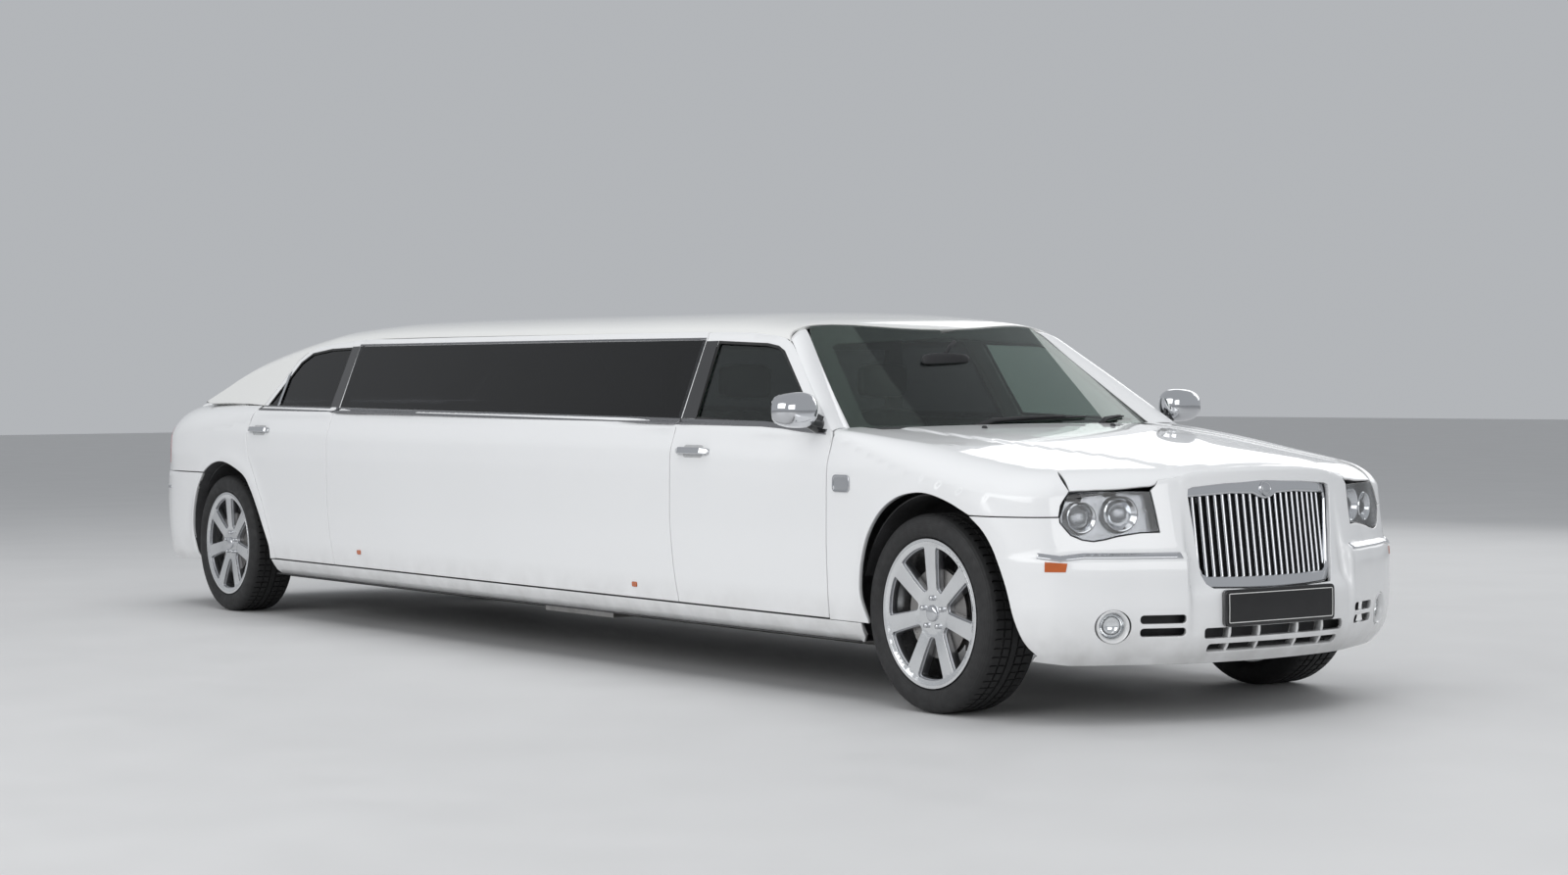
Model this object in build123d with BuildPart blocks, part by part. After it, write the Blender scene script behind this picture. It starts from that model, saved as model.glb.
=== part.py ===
"""Four-door saloon stretched into a limousine, in millimetres.

X runs forwards, Y to the left and Z up. The origin is on the ground, halfway along the car.
Right-hand drive, so the driver sits on the side of negative Y.
"""
import os
from math import cos, radians, sin

from build123d import *

os.makedirs("parts", exist_ok=True)

# Driving dimensions of the car
stretch = 3048.0
wheelbase = 3048.0 + stretch
front_overhang = 885.0
rear_overhang = 1066.0
half_width = 941.0
length = front_overhang + wheelbase + rear_overhang
front_axle = length / 2 - front_overhang
rear_axle = front_axle - wheelbase

# Wheels and steering
track_half = 800.0
tyre_radius = 364.0
tyre_width = 245.0
bead_radius = 254.0
lip_radius = 272.0
barrel_radius = 236.0
disc_radius = 165.0
spoke_count = 7
nut_count = 5
tyre_flats = 64
wheelhouse_radius = 430.0
wheelhouse_inner = 455.0
flange_half = 915.0

# Wall depths, measured inwards from the painted skin
flange_depth = 12.0
skin_depth = 45.0
wall_depth = 110.0
glass_inset = 8.0
glass_thick = 6.0
seam = 7.0
door_inset = 25.0

# Heights and rakes
floor_low = 225.0
floor_thick = 40.0
sill_low = 205.0
sill_high = 308.0
seam_height = 729.0
rear_bumper_top = 738.0
rake = 0.0105
belt_height = 1050.0
belt_station = front_axle - 1690.0


def ahead(distance):
    """Station a distance ahead of the front axle."""
    return front_axle + distance


def behind(distance):
    """Station a distance behind the rear axle."""
    return rear_axle - distance


def belt(x):
    """Height of the belt line, which climbs gently towards the tail."""
    return belt_height + rake * (belt_station - x)


# Plan sections of the lower body: height, nose ahead of the front axle, tail behind the rear axle
plan_table = [
    (200, 800, 950),
    (270, 858, 1005),
    (380, 882, 1045),
    (470, 885, 1062),
    (590, 872, 1066),
    (612, 838, 1066),
    (738, 806, 1056),
    (752, 802, 1022),
    (860, 784, 1006),
    (990, 774, 980),
    (1180, 774, 930),
]

# Cross-section of the lower body: half width, height
section_table = [
    (858, 200),
    (913, 262),
    (925, 312),
    (934, 420),
    (half_width, 650),
    (937, 880),
    (928, 950),
    (900, 1040),
    (872, 1180),
]

# Crown of the hood, belt and deck: station, height at the centre, height 780 out
crown_table = [
    (ahead(980), 862, 795),
    (ahead(600), 928, 868),
    (ahead(200), 972, 932),
    (ahead(-250), 1018, 994),
    (ahead(-700), 1050, 1032),
    (behind(-100), 1132, 1112),
    (behind(400), 1132, 1112),
    (behind(800), 1104, 1076),
    (behind(1200), 1060, 1030),
]

# Roof sections: station, height of the eave, height at the centre
roof_table = [
    (ahead(-300), 1130, 1162),
    (ahead(-650), 1225, 1262),
    (ahead(-1000), 1335, 1390),
    (ahead(-1250), 1393, 1462),
    (ahead(-1700), 1417, 1501),
    (ahead(-2600), 1425, 1515),
    (behind(-1500), 1440, 1530),
    (behind(-900), 1424, 1517),
    (behind(-450), 1368, 1474),
    (behind(0), 1270, 1385),
    (behind(700), 1090, 1200),
]


def side_half(height, inset):
    """Half width of the glasshouse side at a height."""
    return 905.0 - 0.52 * (height - 1000.0) - inset


def lower_form(inset):
    """The lower body as one solid, shrunk by the inset."""
    with BuildPart() as form:
        for height, nose, tail in plan_table:
            tip = ahead(nose) - inset
            end = behind(tail) + inset
            flank = half_width + 20 - inset
            with BuildSketch(Plane.XY.offset(height)):
                with BuildLine():
                    ThreePointArc((tip - 30, -360), (tip, 0), (tip - 30, 360))
                    ThreePointArc((tip - 30, 360), (tip - 128, 610 - 0.5 * inset), (tip - 290, 868 - inset))
                    ThreePointArc((tip - 290, 868 - inset), (tip - 420, 918 - inset), (tip - 640, flank))
                    Line((tip - 640, flank), (end + 520, flank))
                    ThreePointArc((end + 520, flank), (end + 280, 912 - inset), (end + 165, 850 - inset))
                    ThreePointArc((end + 165, 850 - inset), (end + 78, 680 - 0.5 * inset), (end + 22, 380))
                    ThreePointArc((end + 22, 380), (end, 0), (end + 22, -380))
                    ThreePointArc((end + 22, -380), (end + 78, -680 + 0.5 * inset), (end + 165, inset - 850))
                    ThreePointArc((end + 165, inset - 850), (end + 280, inset - 912), (end + 520, -flank))
                    Line((end + 520, -flank), (tip - 640, -flank))
                    ThreePointArc((tip - 640, -flank), (tip - 420, inset - 918), (tip - 290, inset - 868))
                    ThreePointArc((tip - 290, inset - 868), (tip - 128, 0.5 * inset - 610), (tip - 30, -360))
                make_face()
        loft(ruled=True)
        with BuildSketch(Plane.YZ.offset(-length)):
            right = [(inset - half, height) for half, height in section_table]
            left = [(half - inset, height) for half, height in reversed(section_table)]
            Polygon(*right, *left, align=None)
        extrude(amount=2 * length, mode=Mode.INTERSECT)
        add(crown_form(inset), mode=Mode.INTERSECT)
    return form.part


def crown_form(inset):
    """Everything below the crowned hood, belt and deck."""
    reach = 1000.0
    with BuildPart() as form:
        for station, centre, shoulder in crown_table:
            drop = (centre - shoulder) * (reach / 780.0) ** 2
            edge = centre - drop - inset
            with BuildSketch(Plane.YZ.offset(station)):
                with BuildLine():
                    ThreePointArc((-reach, edge), (0, centre - inset), (reach, edge))
                    Polyline((reach, edge), (reach, 100), (-reach, 100), (-reach, edge))
                make_face()
        loft(ruled=True)
    return form.part


def cabin_form(inset):
    """The glasshouse as one solid, shrunk by the inset, its foot upright within the lower body."""
    foot = 860.0
    waist = 975.0
    waist_half = side_half(waist, inset)
    with BuildPart() as form:
        for station, eave_skin, centre in roof_table:
            eave = eave_skin - 0.8 * inset
            eave_half = side_half(eave, inset)
            top = centre - inset
            with BuildSketch(Plane.YZ.offset(station)):
                with BuildLine():
                    Polyline((-waist_half, foot), (-waist_half, waist), (-eave_half, eave))
                    ThreePointArc((-eave_half, eave), (-eave_half + 32, eave + 0.40 * (top - eave)),
                                  (-eave_half + 100, eave + 0.60 * (top - eave)))
                    ThreePointArc((-eave_half + 100, eave + 0.60 * (top - eave)), (0, top),
                                  (eave_half - 100, eave + 0.60 * (top - eave)))
                    ThreePointArc((eave_half - 100, eave + 0.60 * (top - eave)),
                                  (eave_half - 32, eave + 0.40 * (top - eave)), (eave_half, eave))
                    Polyline((eave_half, eave), (waist_half, waist), (waist_half, foot), (-waist_half, foot))
                make_face()
        loft(ruled=True)
        add(screen_form(inset), mode=Mode.INTERSECT)
    return form.part


def screen_form(inset):
    """The space between the curved windscreen and the curved rear window."""
    base = 850.0
    rise = 800.0
    screen_run = 1.443
    window_run = 2.722
    front = ahead(-258) - 1.75 * inset
    rear = behind(1303) + 2.9 * inset
    with BuildPart() as form:
        with BuildSketch(Plane.XY.offset(base)):
            with BuildLine():
                ThreePointArc((front - 250, -1000), (front, 0), (front - 250, 1000))
                Polyline((front - 250, 1000), (rear - 3500, 1000), (rear - 3500, -1000), (front - 250, -1000))
            make_face()
        extrude(amount=rise * (1 + screen_run ** 2) ** 0.5, dir=(-screen_run, 0, 1))
        with BuildPart(mode=Mode.PRIVATE) as tail_side:
            with BuildSketch(Plane.XY.offset(base)):
                with BuildLine():
                    ThreePointArc((rear + 200, -1000), (rear, 0), (rear + 200, 1000))
                    Polyline((rear + 200, 1000), (front + 1500, 1000), (front + 1500, -1000),
                             (rear + 200, -1000))
                make_face()
            extrude(amount=rise * (1 + window_run ** 2) ** 0.5, dir=(window_run, 0, 1))
        add(tail_side.part, mode=Mode.INTERSECT)
    return form.part


def side_prism(points, low=-1200.0, high=1200.0):
    """A side-view outline pushed across the car from one Y to the other."""
    with BuildPart() as prism:
        with BuildSketch(Plane.XZ.offset(-high)):
            Polygon(*points, align=None)
        extrude(amount=high - low)
    return prism.part


def front_prism(points, low=-length, high=length):
    """A front-view outline, half width and height, pushed along the car."""
    with BuildPart() as prism:
        with BuildSketch(Plane.YZ.offset(low)):
            Polygon(*points, align=None)
        extrude(amount=high - low)
    return prism.part


def plan_prism(points, low=0.0, high=2000.0):
    """A plan-view outline pushed upwards."""
    with BuildPart() as prism:
        with BuildSketch(Plane.XY.offset(low)):
            Polygon(*points, align=None)
        extrude(amount=high - low)
    return prism.part


def block(x, y, z):
    """A box from three pairs of limits."""
    with BuildPart() as solid:
        with BuildSketch(Plane.XY.offset(z[0])):
            Polygon((x[0], y[0]), (x[1], y[0]), (x[1], y[1]), (x[0], y[1]), align=None)
        extrude(amount=z[1] - z[0])
    return solid.part


def arch_prism(axle, front_reach, low, high):
    """The wheel opening in the skin, longer at its front foot, as in the pressed panels."""
    with BuildPart() as prism:
        with BuildSketch(Plane.XZ.offset(-high)):
            with BuildLine():
                Line((axle - 385, 100), (axle - 387, 468))
                ThreePointArc((axle - 387, 468), (axle - 262, 726), (axle, 801))
                ThreePointArc((axle, 801), (axle + 276, 727), (axle + 446, 485))
                Line((axle + 446, 485), (axle + front_reach, 285))
                Polyline((axle + front_reach, 285), (axle + front_reach, 100), (axle - 385, 100))
            make_face()
        extrude(amount=high - low)
    return prism.part


def wheelhouse(axle, low, high, radius=wheelhouse_radius):
    """The round space that the wheel turns in."""
    with BuildPart() as space:
        with BuildSketch(Plane.XZ.offset(-high)):
            with Locations((axle, tyre_radius)):
                Circle(radius)
        extrude(amount=high - low)
    return space.part


def finish(part, name):
    """Label a piece and write it to its file."""
    part.label = name
    export_step(part, f"parts/{name}.step")


def finish_pair(part, name):
    """Write the right-hand piece and its mirror image."""
    finish(part, f"{name}_right")
    finish(mirror(part, about=Plane.XZ), f"{name}_left")


def both_sides(part):
    """A right-hand piece and its mirror image as one part."""
    with BuildPart() as pair:
        add(part)
        mirror(part, about=Plane.XZ)
    return pair.part


# Nested forms of the whole body
forms = {}
for inset in (0.0, flange_depth, skin_depth, wall_depth):
    with BuildPart() as nested:
        add(lower_form(inset))
        add(cabin_form(inset))
    forms[inset] = nested.part


def shell(outer, inner):
    """The layer of the body between two insets."""
    with BuildPart() as layer:
        add(forms[outer])
        add(forms[inner], mode=Mode.SUBTRACT)
    return layer.part


skin = shell(0.0, skin_depth)
flange = shell(0.0, flange_depth)
frame_core = shell(flange_depth, skin_depth)
door_core = shell(flange_depth, wall_depth)
wall = shell(0.0, wall_depth)
cabin_gap = cabin_form(-seam)
with BuildPart() as glazing_layer:
    add(cabin_form(glass_inset))
    add(cabin_form(glass_inset + glass_thick), mode=Mode.SUBTRACT)
glazing = glazing_layer.part

# Door outlines in the side view
front_door = [
    (ahead(-597), sill_high + 4),
    (ahead(-597), 900),
    (ahead(-600), 1000),
    (ahead(-1130), 1372),
    (ahead(-1260), 1400),
    (ahead(-1500), 1416),
    (ahead(-1752), 1420),
    (ahead(-1745), 1380),
    (ahead(-1684), 1052),
    (ahead(-1689), 900),
    (ahead(-1689), 650),
    (ahead(-1642), sill_high + 4),
]
rear_door = [
    (ahead(-4790), sill_high + 4),
    (ahead(-4848), 650),
    (ahead(-4854), 929),
    (ahead(-4850), 1085),
    (ahead(-4925), 1441),
    (behind(-900), 1430),
    (behind(-600), 1393),
    (behind(-480), 1330),
    (behind(-300), 1100),
    (behind(-262), 960),
    (behind(-300), 860),
    (behind(-395), 745),
    (behind(-500), 600),
    (behind(-570), 450),
    (behind(-625), sill_high + 4),
]

# Window outlines in the side view
front_window = [
    (ahead(-700), belt(ahead(-700)) - 15),
    (ahead(-1145), 1335),
    (ahead(-1290), 1366),
    (ahead(-1655), 1381),
    (ahead(-1585), belt(ahead(-1585)) + 8),
]
rear_window = [
    (behind(-1145), belt(behind(-1145)) + 8),
    (behind(-1080), 1402),
    (behind(-850), 1397),
    (behind(-600), 1362),
    (behind(-490), 1290),
    (behind(-352), belt(behind(-352)) + 8),
]
stretch_window = [
    (ahead(-1716), belt(ahead(-1716)) + 8),
    (ahead(-1782), 1384),
    (behind(-1176), 1402),
    (behind(-1243), belt(behind(-1243)) + 8),
]


def grown(points, amount):
    """The face of an outline, offset by an amount, as a side prism on the right."""
    with BuildPart() as prism:
        with BuildSketch(Plane.XZ):
            Polygon(*points, align=None)
            if amount:
                offset(amount=amount, kind=Kind.INTERSECTION, mode=Mode.REPLACE)
        extrude(amount=1200)
    return prism.part


def below_belt(extra=0.0):
    """The space under the belt line."""
    return side_prism([(-5000, 0), (5000, 0), (5000, belt(5000) + extra), (-5000, belt(-5000) + extra)])


# The band of the right-hand wall that a door may fill, as a front view
door_band = front_prism([
    (-1200, 190),
    (-800, 190), (-800, 1030), (skin_depth + 2 - side_half(1030, 0), 1030),
    (skin_depth + 2 - side_half(1460, 0), 1460), (-1200, 1460)])

# Handles stand off each door: station of the handle's middle, height
handle_table = {
    "door_front": (ahead(-1520), 932),
    "door_rear": (ahead(-5650), 975),
}
handle_length = 236.0

# Doors: a thin outer flange over a narrower core, with the window cut through
doors = {}
for name, outline, window in (
    ("door_front", front_door, front_window),
    ("door_rear", rear_door, rear_window),
):
    grip_station, grip_height = handle_table[name]
    with BuildPart() as core:
        add(door_core)
        add(below_belt(-20), mode=Mode.INTERSECT)
        add(frame_core)
        add(grown(outline, -door_inset), mode=Mode.INTERSECT)
    with BuildPart() as door:
        add(flange)
        add(grown(outline, -seam / 2), mode=Mode.INTERSECT)
        add(core.part)
        add(door_band, mode=Mode.INTERSECT)
        add(grown(window, 0), mode=Mode.SUBTRACT)
        with BuildSketch(Plane.XZ.offset(925)):
            with Locations((grip_station - handle_length / 2 + 20, grip_height),
                           (grip_station + handle_length / 2 - 20, grip_height)):
                RectangleRounded(36, 22, 8)
        extrude(amount=32)
        with BuildSketch(Plane.XZ.offset(948)):
            with Locations((grip_station, grip_height)):
                RectangleRounded(handle_length, 26, 12)
        extrude(amount=12)
    finish_pair(door.part, name)
    doors[name] = door.part
    with BuildPart() as pane:
        add(glazing)
        add(grown(window, -0.5), mode=Mode.INTERSECT)
        add(door_band, mode=Mode.INTERSECT)
    finish_pair(pane.part, name.replace("door", "door_glass"))

# Stretch side panel with its post either side of the long window
with BuildPart() as side_panel:
    add(wall)
    add(below_belt(-20), mode=Mode.INTERSECT)
    add(skin)
    add(side_prism([(ahead(-1600), sill_high), (ahead(-1600), 1390), (ahead(-1782), 1424),
                    (ahead(-4900), 1441), (ahead(-4900), sill_high)], -1200, 0), mode=Mode.INTERSECT)
    add(grown(front_door, seam / 2), mode=Mode.SUBTRACT)
    add(grown(rear_door, seam / 2), mode=Mode.SUBTRACT)
    add(grown(stretch_window, 0), mode=Mode.SUBTRACT)
finish_pair(side_panel.part, "side_panel")

with BuildPart() as side_windows:
    add(glazing)
    add(grown(stretch_window, -0.5), mode=Mode.INTERSECT)
finish(both_sides(side_windows.part), "side_windows")

# Sills
with BuildPart() as sill:
    add(forms[0.0])
    add(side_prism([(ahead(-392), sill_low), (ahead(-392), sill_high), (behind(-640), sill_high),
                    (behind(-640), sill_low)], -1200, -780), mode=Mode.INTERSECT)
    add(wheelhouse(front_axle, -flange_half, 0), mode=Mode.SUBTRACT)
    add(wheelhouse(rear_axle, -flange_half, 0), mode=Mode.SUBTRACT)
finish(both_sides(sill.part), "sills")

# Front fender, from the hood gap down to the bumper seam and round the arch
hood_half = 722.0
with BuildPart() as front_fender:
    add(skin)
    add(side_prism([(ahead(-597 + seam / 2), sill_high), (ahead(-597 + seam / 2), 990),
                    (ahead(-700), 1062), (ahead(-560), 1062), (ahead(760), 960), (ahead(760), seam_height),
                    (ahead(220), seam_height), (ahead(0), 500), (ahead(-392), sill_high)],
                   -1200, -hood_half - seam / 2), mode=Mode.INTERSECT)
    add(arch_prism(front_axle, 610, -1200, 0), mode=Mode.SUBTRACT)
    add(wheelhouse(front_axle, -flange_half, 0), mode=Mode.SUBTRACT)
    add(cabin_gap, mode=Mode.SUBTRACT)
    add(grown(front_door, seam / 2), mode=Mode.SUBTRACT)
    add(front_prism([(-840, 640), (-840, 824), (-hood_half + 10, 824), (-hood_half + 10, 640)],
                    ahead(380), ahead(900)), mode=Mode.SUBTRACT)
finish_pair(front_fender.part, "front_fender")

# Roof with cant rails, screen posts and rear posts
with BuildPart() as roof:
    add(cabin_form(0.0))
    add(forms[skin_depth], mode=Mode.SUBTRACT)
    add(side_prism([(ahead(-300), 1040), (ahead(-300), 1700), (behind(900), 1700), (behind(900), 1108),
                    (behind(-250), 1108), (behind(-600), 1400), (ahead(-4900), 1441), (ahead(-1782), 1424),
                    (ahead(-1690), 1424), (ahead(-1600), 1390), (ahead(-1100), 1290),
                    (ahead(-640), 1040)]), mode=Mode.INTERSECT)
    add(both_sides(grown(front_door, seam / 2)), mode=Mode.SUBTRACT)
    add(both_sides(grown(rear_door, seam / 2)), mode=Mode.SUBTRACT)
    with BuildSketch(Plane.YZ.offset(ahead(-1300))):
        Polygon((-700, 1055), (-540, 1362), (540, 1362), (700, 1055), align=None)
    extrude(amount=1000, mode=Mode.SUBTRACT)
    with BuildSketch(Plane.YZ.offset(behind(-250))):
        Polygon((-620, 1148), (-490, 1420), (490, 1420), (620, 1148), align=None)
    extrude(amount=-900, mode=Mode.SUBTRACT)
finish(roof.part, "roof")

with BuildPart() as windscreen:
    add(glazing)
    with BuildSketch(Plane.YZ.offset(ahead(-1300))):
        Polygon((-699, 1056), (-539, 1361), (539, 1361), (699, 1056), align=None)
    extrude(amount=1000, mode=Mode.INTERSECT)
finish(windscreen.part, "windscreen")

with BuildPart() as rear_screen:
    add(glazing)
    with BuildSketch(Plane.YZ.offset(behind(-250))):
        Polygon((-619, 1149), (-489, 1419), (489, 1419), (619, 1149), align=None)
    extrude(amount=-900, mode=Mode.INTERSECT)
finish(rear_screen.part, "rear_window")

# Quarter panel with the rear arch, up to the deck
deck_half = 640.0
lamp_half = 610.0
with BuildPart() as quarter:
    add(skin)
    add(side_prism([(behind(-660), sill_high), (behind(-660), 1200), (behind(1100), 1200),
                    (behind(1100), rear_bumper_top), (behind(0), rear_bumper_top),
                    (behind(0), 500), (behind(-300), sill_high)], -1200, 0), mode=Mode.INTERSECT)
    add(block((-length, behind(480)), (-deck_half - seam / 2, 0), (600, 1300)), mode=Mode.SUBTRACT)
    add(block((behind(480), behind(-700)), (-628, 0), (600, 1300)), mode=Mode.SUBTRACT)
    add(arch_prism(rear_axle, 650, -1200, 0), mode=Mode.SUBTRACT)
    add(wheelhouse(rear_axle, -flange_half, 0), mode=Mode.SUBTRACT)
    add(grown(rear_door, seam / 2), mode=Mode.SUBTRACT)
    add(roof.part, mode=Mode.SUBTRACT)
    add(side_panel.part, mode=Mode.SUBTRACT)
    add(front_prism([(-1200, 764), (-1200, 1022), (-lamp_half, 1022), (-lamp_half, 764)],
                    -length, behind(770)), mode=Mode.SUBTRACT)
finish_pair(quarter.part, "quarter_panel")

with BuildPart() as tail_lamp:
    add(skin)
    add(front_prism([(-1200, 765), (-1200, 1021), (-deck_half - seam, 1021), (-deck_half - seam, 765)],
                    -length, behind(771)), mode=Mode.INTERSECT)
finish(both_sides(tail_lamp.part), "tail_lamps")

# Hood
with BuildPart() as hood:
    add(skin)
    add(plan_prism([(ahead(-500), -300), (ahead(-500), 300), (ahead(-540), 600), (ahead(-575), hood_half),
                    (ahead(900), hood_half), (ahead(900), -hood_half), (ahead(-575), -hood_half),
                    (ahead(-540), -600)]), mode=Mode.INTERSECT)
    add(front_prism([(-1000, 828), (-478, 828), (-456, 862), (-268, 893), (0, 908), (268, 893), (456, 862),
                     (478, 828), (1000, 828), (1000, 1500), (-1000, 1500)]), mode=Mode.INTERSECT)
    add(cabin_gap, mode=Mode.SUBTRACT)
finish(hood.part, "hood")

# Cowl between the hood and the windscreen
with BuildPart() as cowl:
    add(skin)
    add(plan_prism([(ahead(-500) - seam, -300), (ahead(-500) - seam, 300), (ahead(-540) - seam, 600),
                    (ahead(-575) - seam, hood_half), (ahead(-760), hood_half), (ahead(-760), -hood_half),
                    (ahead(-575) - seam, -hood_half), (ahead(-540) - seam, -600)],
                   900, 1100), mode=Mode.INTERSECT)
    add(forms[0.0], mode=Mode.INTERSECT)
    add(cabin_form(0.0), mode=Mode.SUBTRACT)
finish(cowl.part, "cowl")

# Headlamps
lamp_outline = [(-474, 675), (-485, 822), (-755, 822), (-796, 775), (-795, 715), (-765, 668), (-700, 645),
                (-620, 662), (-540, 674)]
with BuildPart() as headlamp:
    add(wall)
    add(front_prism(lamp_outline, ahead(400), ahead(900)), mode=Mode.INTERSECT)
finish(both_sides(headlamp.part), "headlamps")

# Front bumper with the grille shield, intakes and lamp pockets
grille_outline = [(-310, 478), (-338, 520), (-376, 822), (-200, 838), (0, 842), (200, 838), (376, 822),
                  (338, 520), (310, 478), (0, 466)]
with BuildPart() as front_bumper:
    add(skin)
    add(side_prism([(ahead(180), 190), (ahead(180), seam_height), (ahead(450), seam_height),
                    (ahead(450), 1000), (ahead(1000), 1000), (ahead(1000), 190)]), mode=Mode.INTERSECT)
    add(front_prism([(-1200, 190), (-1200, seam_height), (-797, seam_height), (-797, 820), (-478, 822),
                     (-456, 855), (-268, 886), (0, 901), (268, 886), (456, 855), (478, 822), (797, 820),
                     (797, seam_height), (1200, seam_height), (1200, 190)]), mode=Mode.INTERSECT)
    add(both_sides(front_prism(lamp_outline, ahead(300), ahead(1000))), mode=Mode.SUBTRACT)
    add(front_prism(grille_outline, ahead(500), ahead(1000)), mode=Mode.SUBTRACT)
    add(both_sides(arch_prism(front_axle, 610, -1200, 0)), mode=Mode.SUBTRACT)
    add(both_sides(wheelhouse(front_axle, -flange_half, 0)), mode=Mode.SUBTRACT)
    with BuildSketch(Plane.YZ.offset(ahead(500))):
        with Locations((0, 312)):
            Rectangle(700, 44)
        with Locations((0, 258)):
            Rectangle(640, 26)
        with Locations((-667, 349), (667, 349)):
            Circle(62)
        with Locations((-505, 372), (505, 372), (-505, 322), (505, 322)):
            Rectangle(150, 32)
    extrude(amount=500, mode=Mode.SUBTRACT)
finish(front_bumper.part, "front_bumper")

with BuildPart() as fog_lamp:
    with BuildSketch(Plane.YZ.offset(ahead(610))):
        with Locations((-667, 349)):
            Circle(60)
    extrude(amount=60)
finish(both_sides(fog_lamp.part), "fog_lamps")

# Grille: a curved, leaning surround with upright bars
grille_curve = 1230.0
grille_tip = ahead(838)
grille_lean = 0.13
bar_count = 21
bar_pitch = 31.0
bar_width = 11.0


def grille_slab(front, back):
    """A curved, leaning slab between two depths behind the grille's face."""
    with BuildPart() as slab:
        with BuildSketch(Plane.XY.offset(400)):
            with Locations((grille_tip - grille_curve, 0)):
                Circle(grille_curve - front)
                Circle(grille_curve - back, mode=Mode.SUBTRACT)
            with Locations((grille_tip, 0)):
                Rectangle(700, 900, mode=Mode.INTERSECT)
        extrude(amount=500 * (1 + grille_lean ** 2) ** 0.5, dir=(-grille_lean, 0, 1))
    return slab.part


with BuildPart() as grille:
    add(grille_slab(0, 55))
    add(front_prism(grille_outline, 0, length), mode=Mode.INTERSECT)
    with BuildPart(mode=Mode.PRIVATE) as mouth:
        with BuildSketch(Plane.YZ.offset(ahead(400))):
            Polygon((-292, 505), (-306, 520), (-340, 790), (340, 790), (306, 520), (292, 505), align=None)
        extrude(amount=600)
    add(mouth.part, mode=Mode.SUBTRACT)
    with BuildPart(mode=Mode.PRIVATE) as bars:
        add(grille_slab(10, 38))
        with BuildSketch(Plane.YZ.offset(ahead(400))):
            with GridLocations(bar_pitch, 1, bar_count, 1):
                with Locations((0, 645)):
                    Rectangle(bar_width, 310)
        extrude(amount=600, mode=Mode.INTERSECT)
        add(front_prism([(-300, 495), (-348, 800), (348, 800), (300, 495)], 0, length), mode=Mode.INTERSECT)
    add(bars.part)
    with BuildPart(mode=Mode.PRIVATE) as backing:
        add(grille_slab(38, 46))
        add(front_prism([(-300, 495), (-348, 800), (348, 800), (300, 495)], 0, length), mode=Mode.INTERSECT)
    add(backing.part)
finish(grille.part, "grille")

# Rear bumper
with BuildPart() as rear_bumper:
    add(skin)
    add(side_prism([(behind(200), 190), (behind(200), rear_bumper_top - 1),
                    (behind(1200), rear_bumper_top - 1), (behind(1200), 190)]), mode=Mode.INTERSECT)
    add(both_sides(arch_prism(rear_axle, 650, -1200, 0)), mode=Mode.SUBTRACT)
    add(both_sides(wheelhouse(rear_axle, -flange_half, 0)), mode=Mode.SUBTRACT)
finish(rear_bumper.part, "rear_bumper")

# Trunk lid, wrapping down between the tail lamps
with BuildPart() as trunk_lid:
    add(skin)
    add(side_prism([(behind(520), 1080), (behind(520), 1200), (behind(1100), 1200),
                    (behind(1100), rear_bumper_top + 18), (behind(900), rear_bumper_top + 18),
                    (behind(900), 1040)]), mode=Mode.INTERSECT)
    lid_half = deck_half - seam / 2
    add(block((-length, length), (-lid_half, lid_half), (0, 2000)), mode=Mode.INTERSECT)
    add(cabin_gap, mode=Mode.SUBTRACT)
finish(trunk_lid.part, "trunk_lid")

# Floor with tunnel and front bulkhead
bulkhead = ahead(-600)
rear_wall = behind(-470)
rear_floor = 480.0
with BuildPart() as floor_pan:
    add(block((bulkhead - 40, bulkhead), (-778, 778), (floor_low, 990)))
    add(block((rear_wall, bulkhead), (-778, 778), (floor_low, floor_low + floor_thick)))
    add(block((rear_wall, bulkhead), (-130, 130), (floor_low, 390)))
finish(floor_pan.part, "floor_pan")

# Rear bulkhead with its shelf, the trunk floor and the panel behind the bumper
with BuildPart() as trunk_well:
    add(block((rear_wall - 30, rear_wall), (-778, 778), (floor_low, 1040)))
    add(block((behind(930), rear_wall), (-620, 620), (rear_floor, rear_floor + 30)))
    add(block((behind(500), rear_wall), (-555, 555), (1040, 1060)))
    add(block((behind(930), behind(890)), (-620, 620), (rear_floor, 730)))
finish(trunk_well.part, "trunk_well")

# Inner fender walls and the radiator with its frame
with BuildPart() as engine_bay:
    add(both_sides(block((bulkhead, ahead(592)), (10 - wheelhouse_inner, 40 - wheelhouse_inner), (300, 800))))
    add(block((ahead(590), ahead(625)), (-460, 460), (230, 760)))
finish(engine_bay.part, "engine_bay")

# Wheel arch liners
liner_thick = 6.0
liner_span = {"front": (front_axle, wheelhouse_inner + 2), "rear": (rear_axle, 622.0)}
with BuildPart() as liners:
    for axle, inner_face in liner_span.values():
        with BuildPart(mode=Mode.PRIVATE) as liner:
            add(wheelhouse(axle, -flange_half + 30, -inner_face, wheelhouse_radius + liner_thick))
            add(wheelhouse(axle, -flange_half - 1, -inner_face - liner_thick), mode=Mode.SUBTRACT)
            add(block((-length, length), (-1200, 0), (-500, 480)), mode=Mode.SUBTRACT)
        add(liner.part)
finish(both_sides(liners.part), "wheel_liners")

# Wheels: a dished barrel, seven flat spokes and a hub carrying the brake disc


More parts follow.
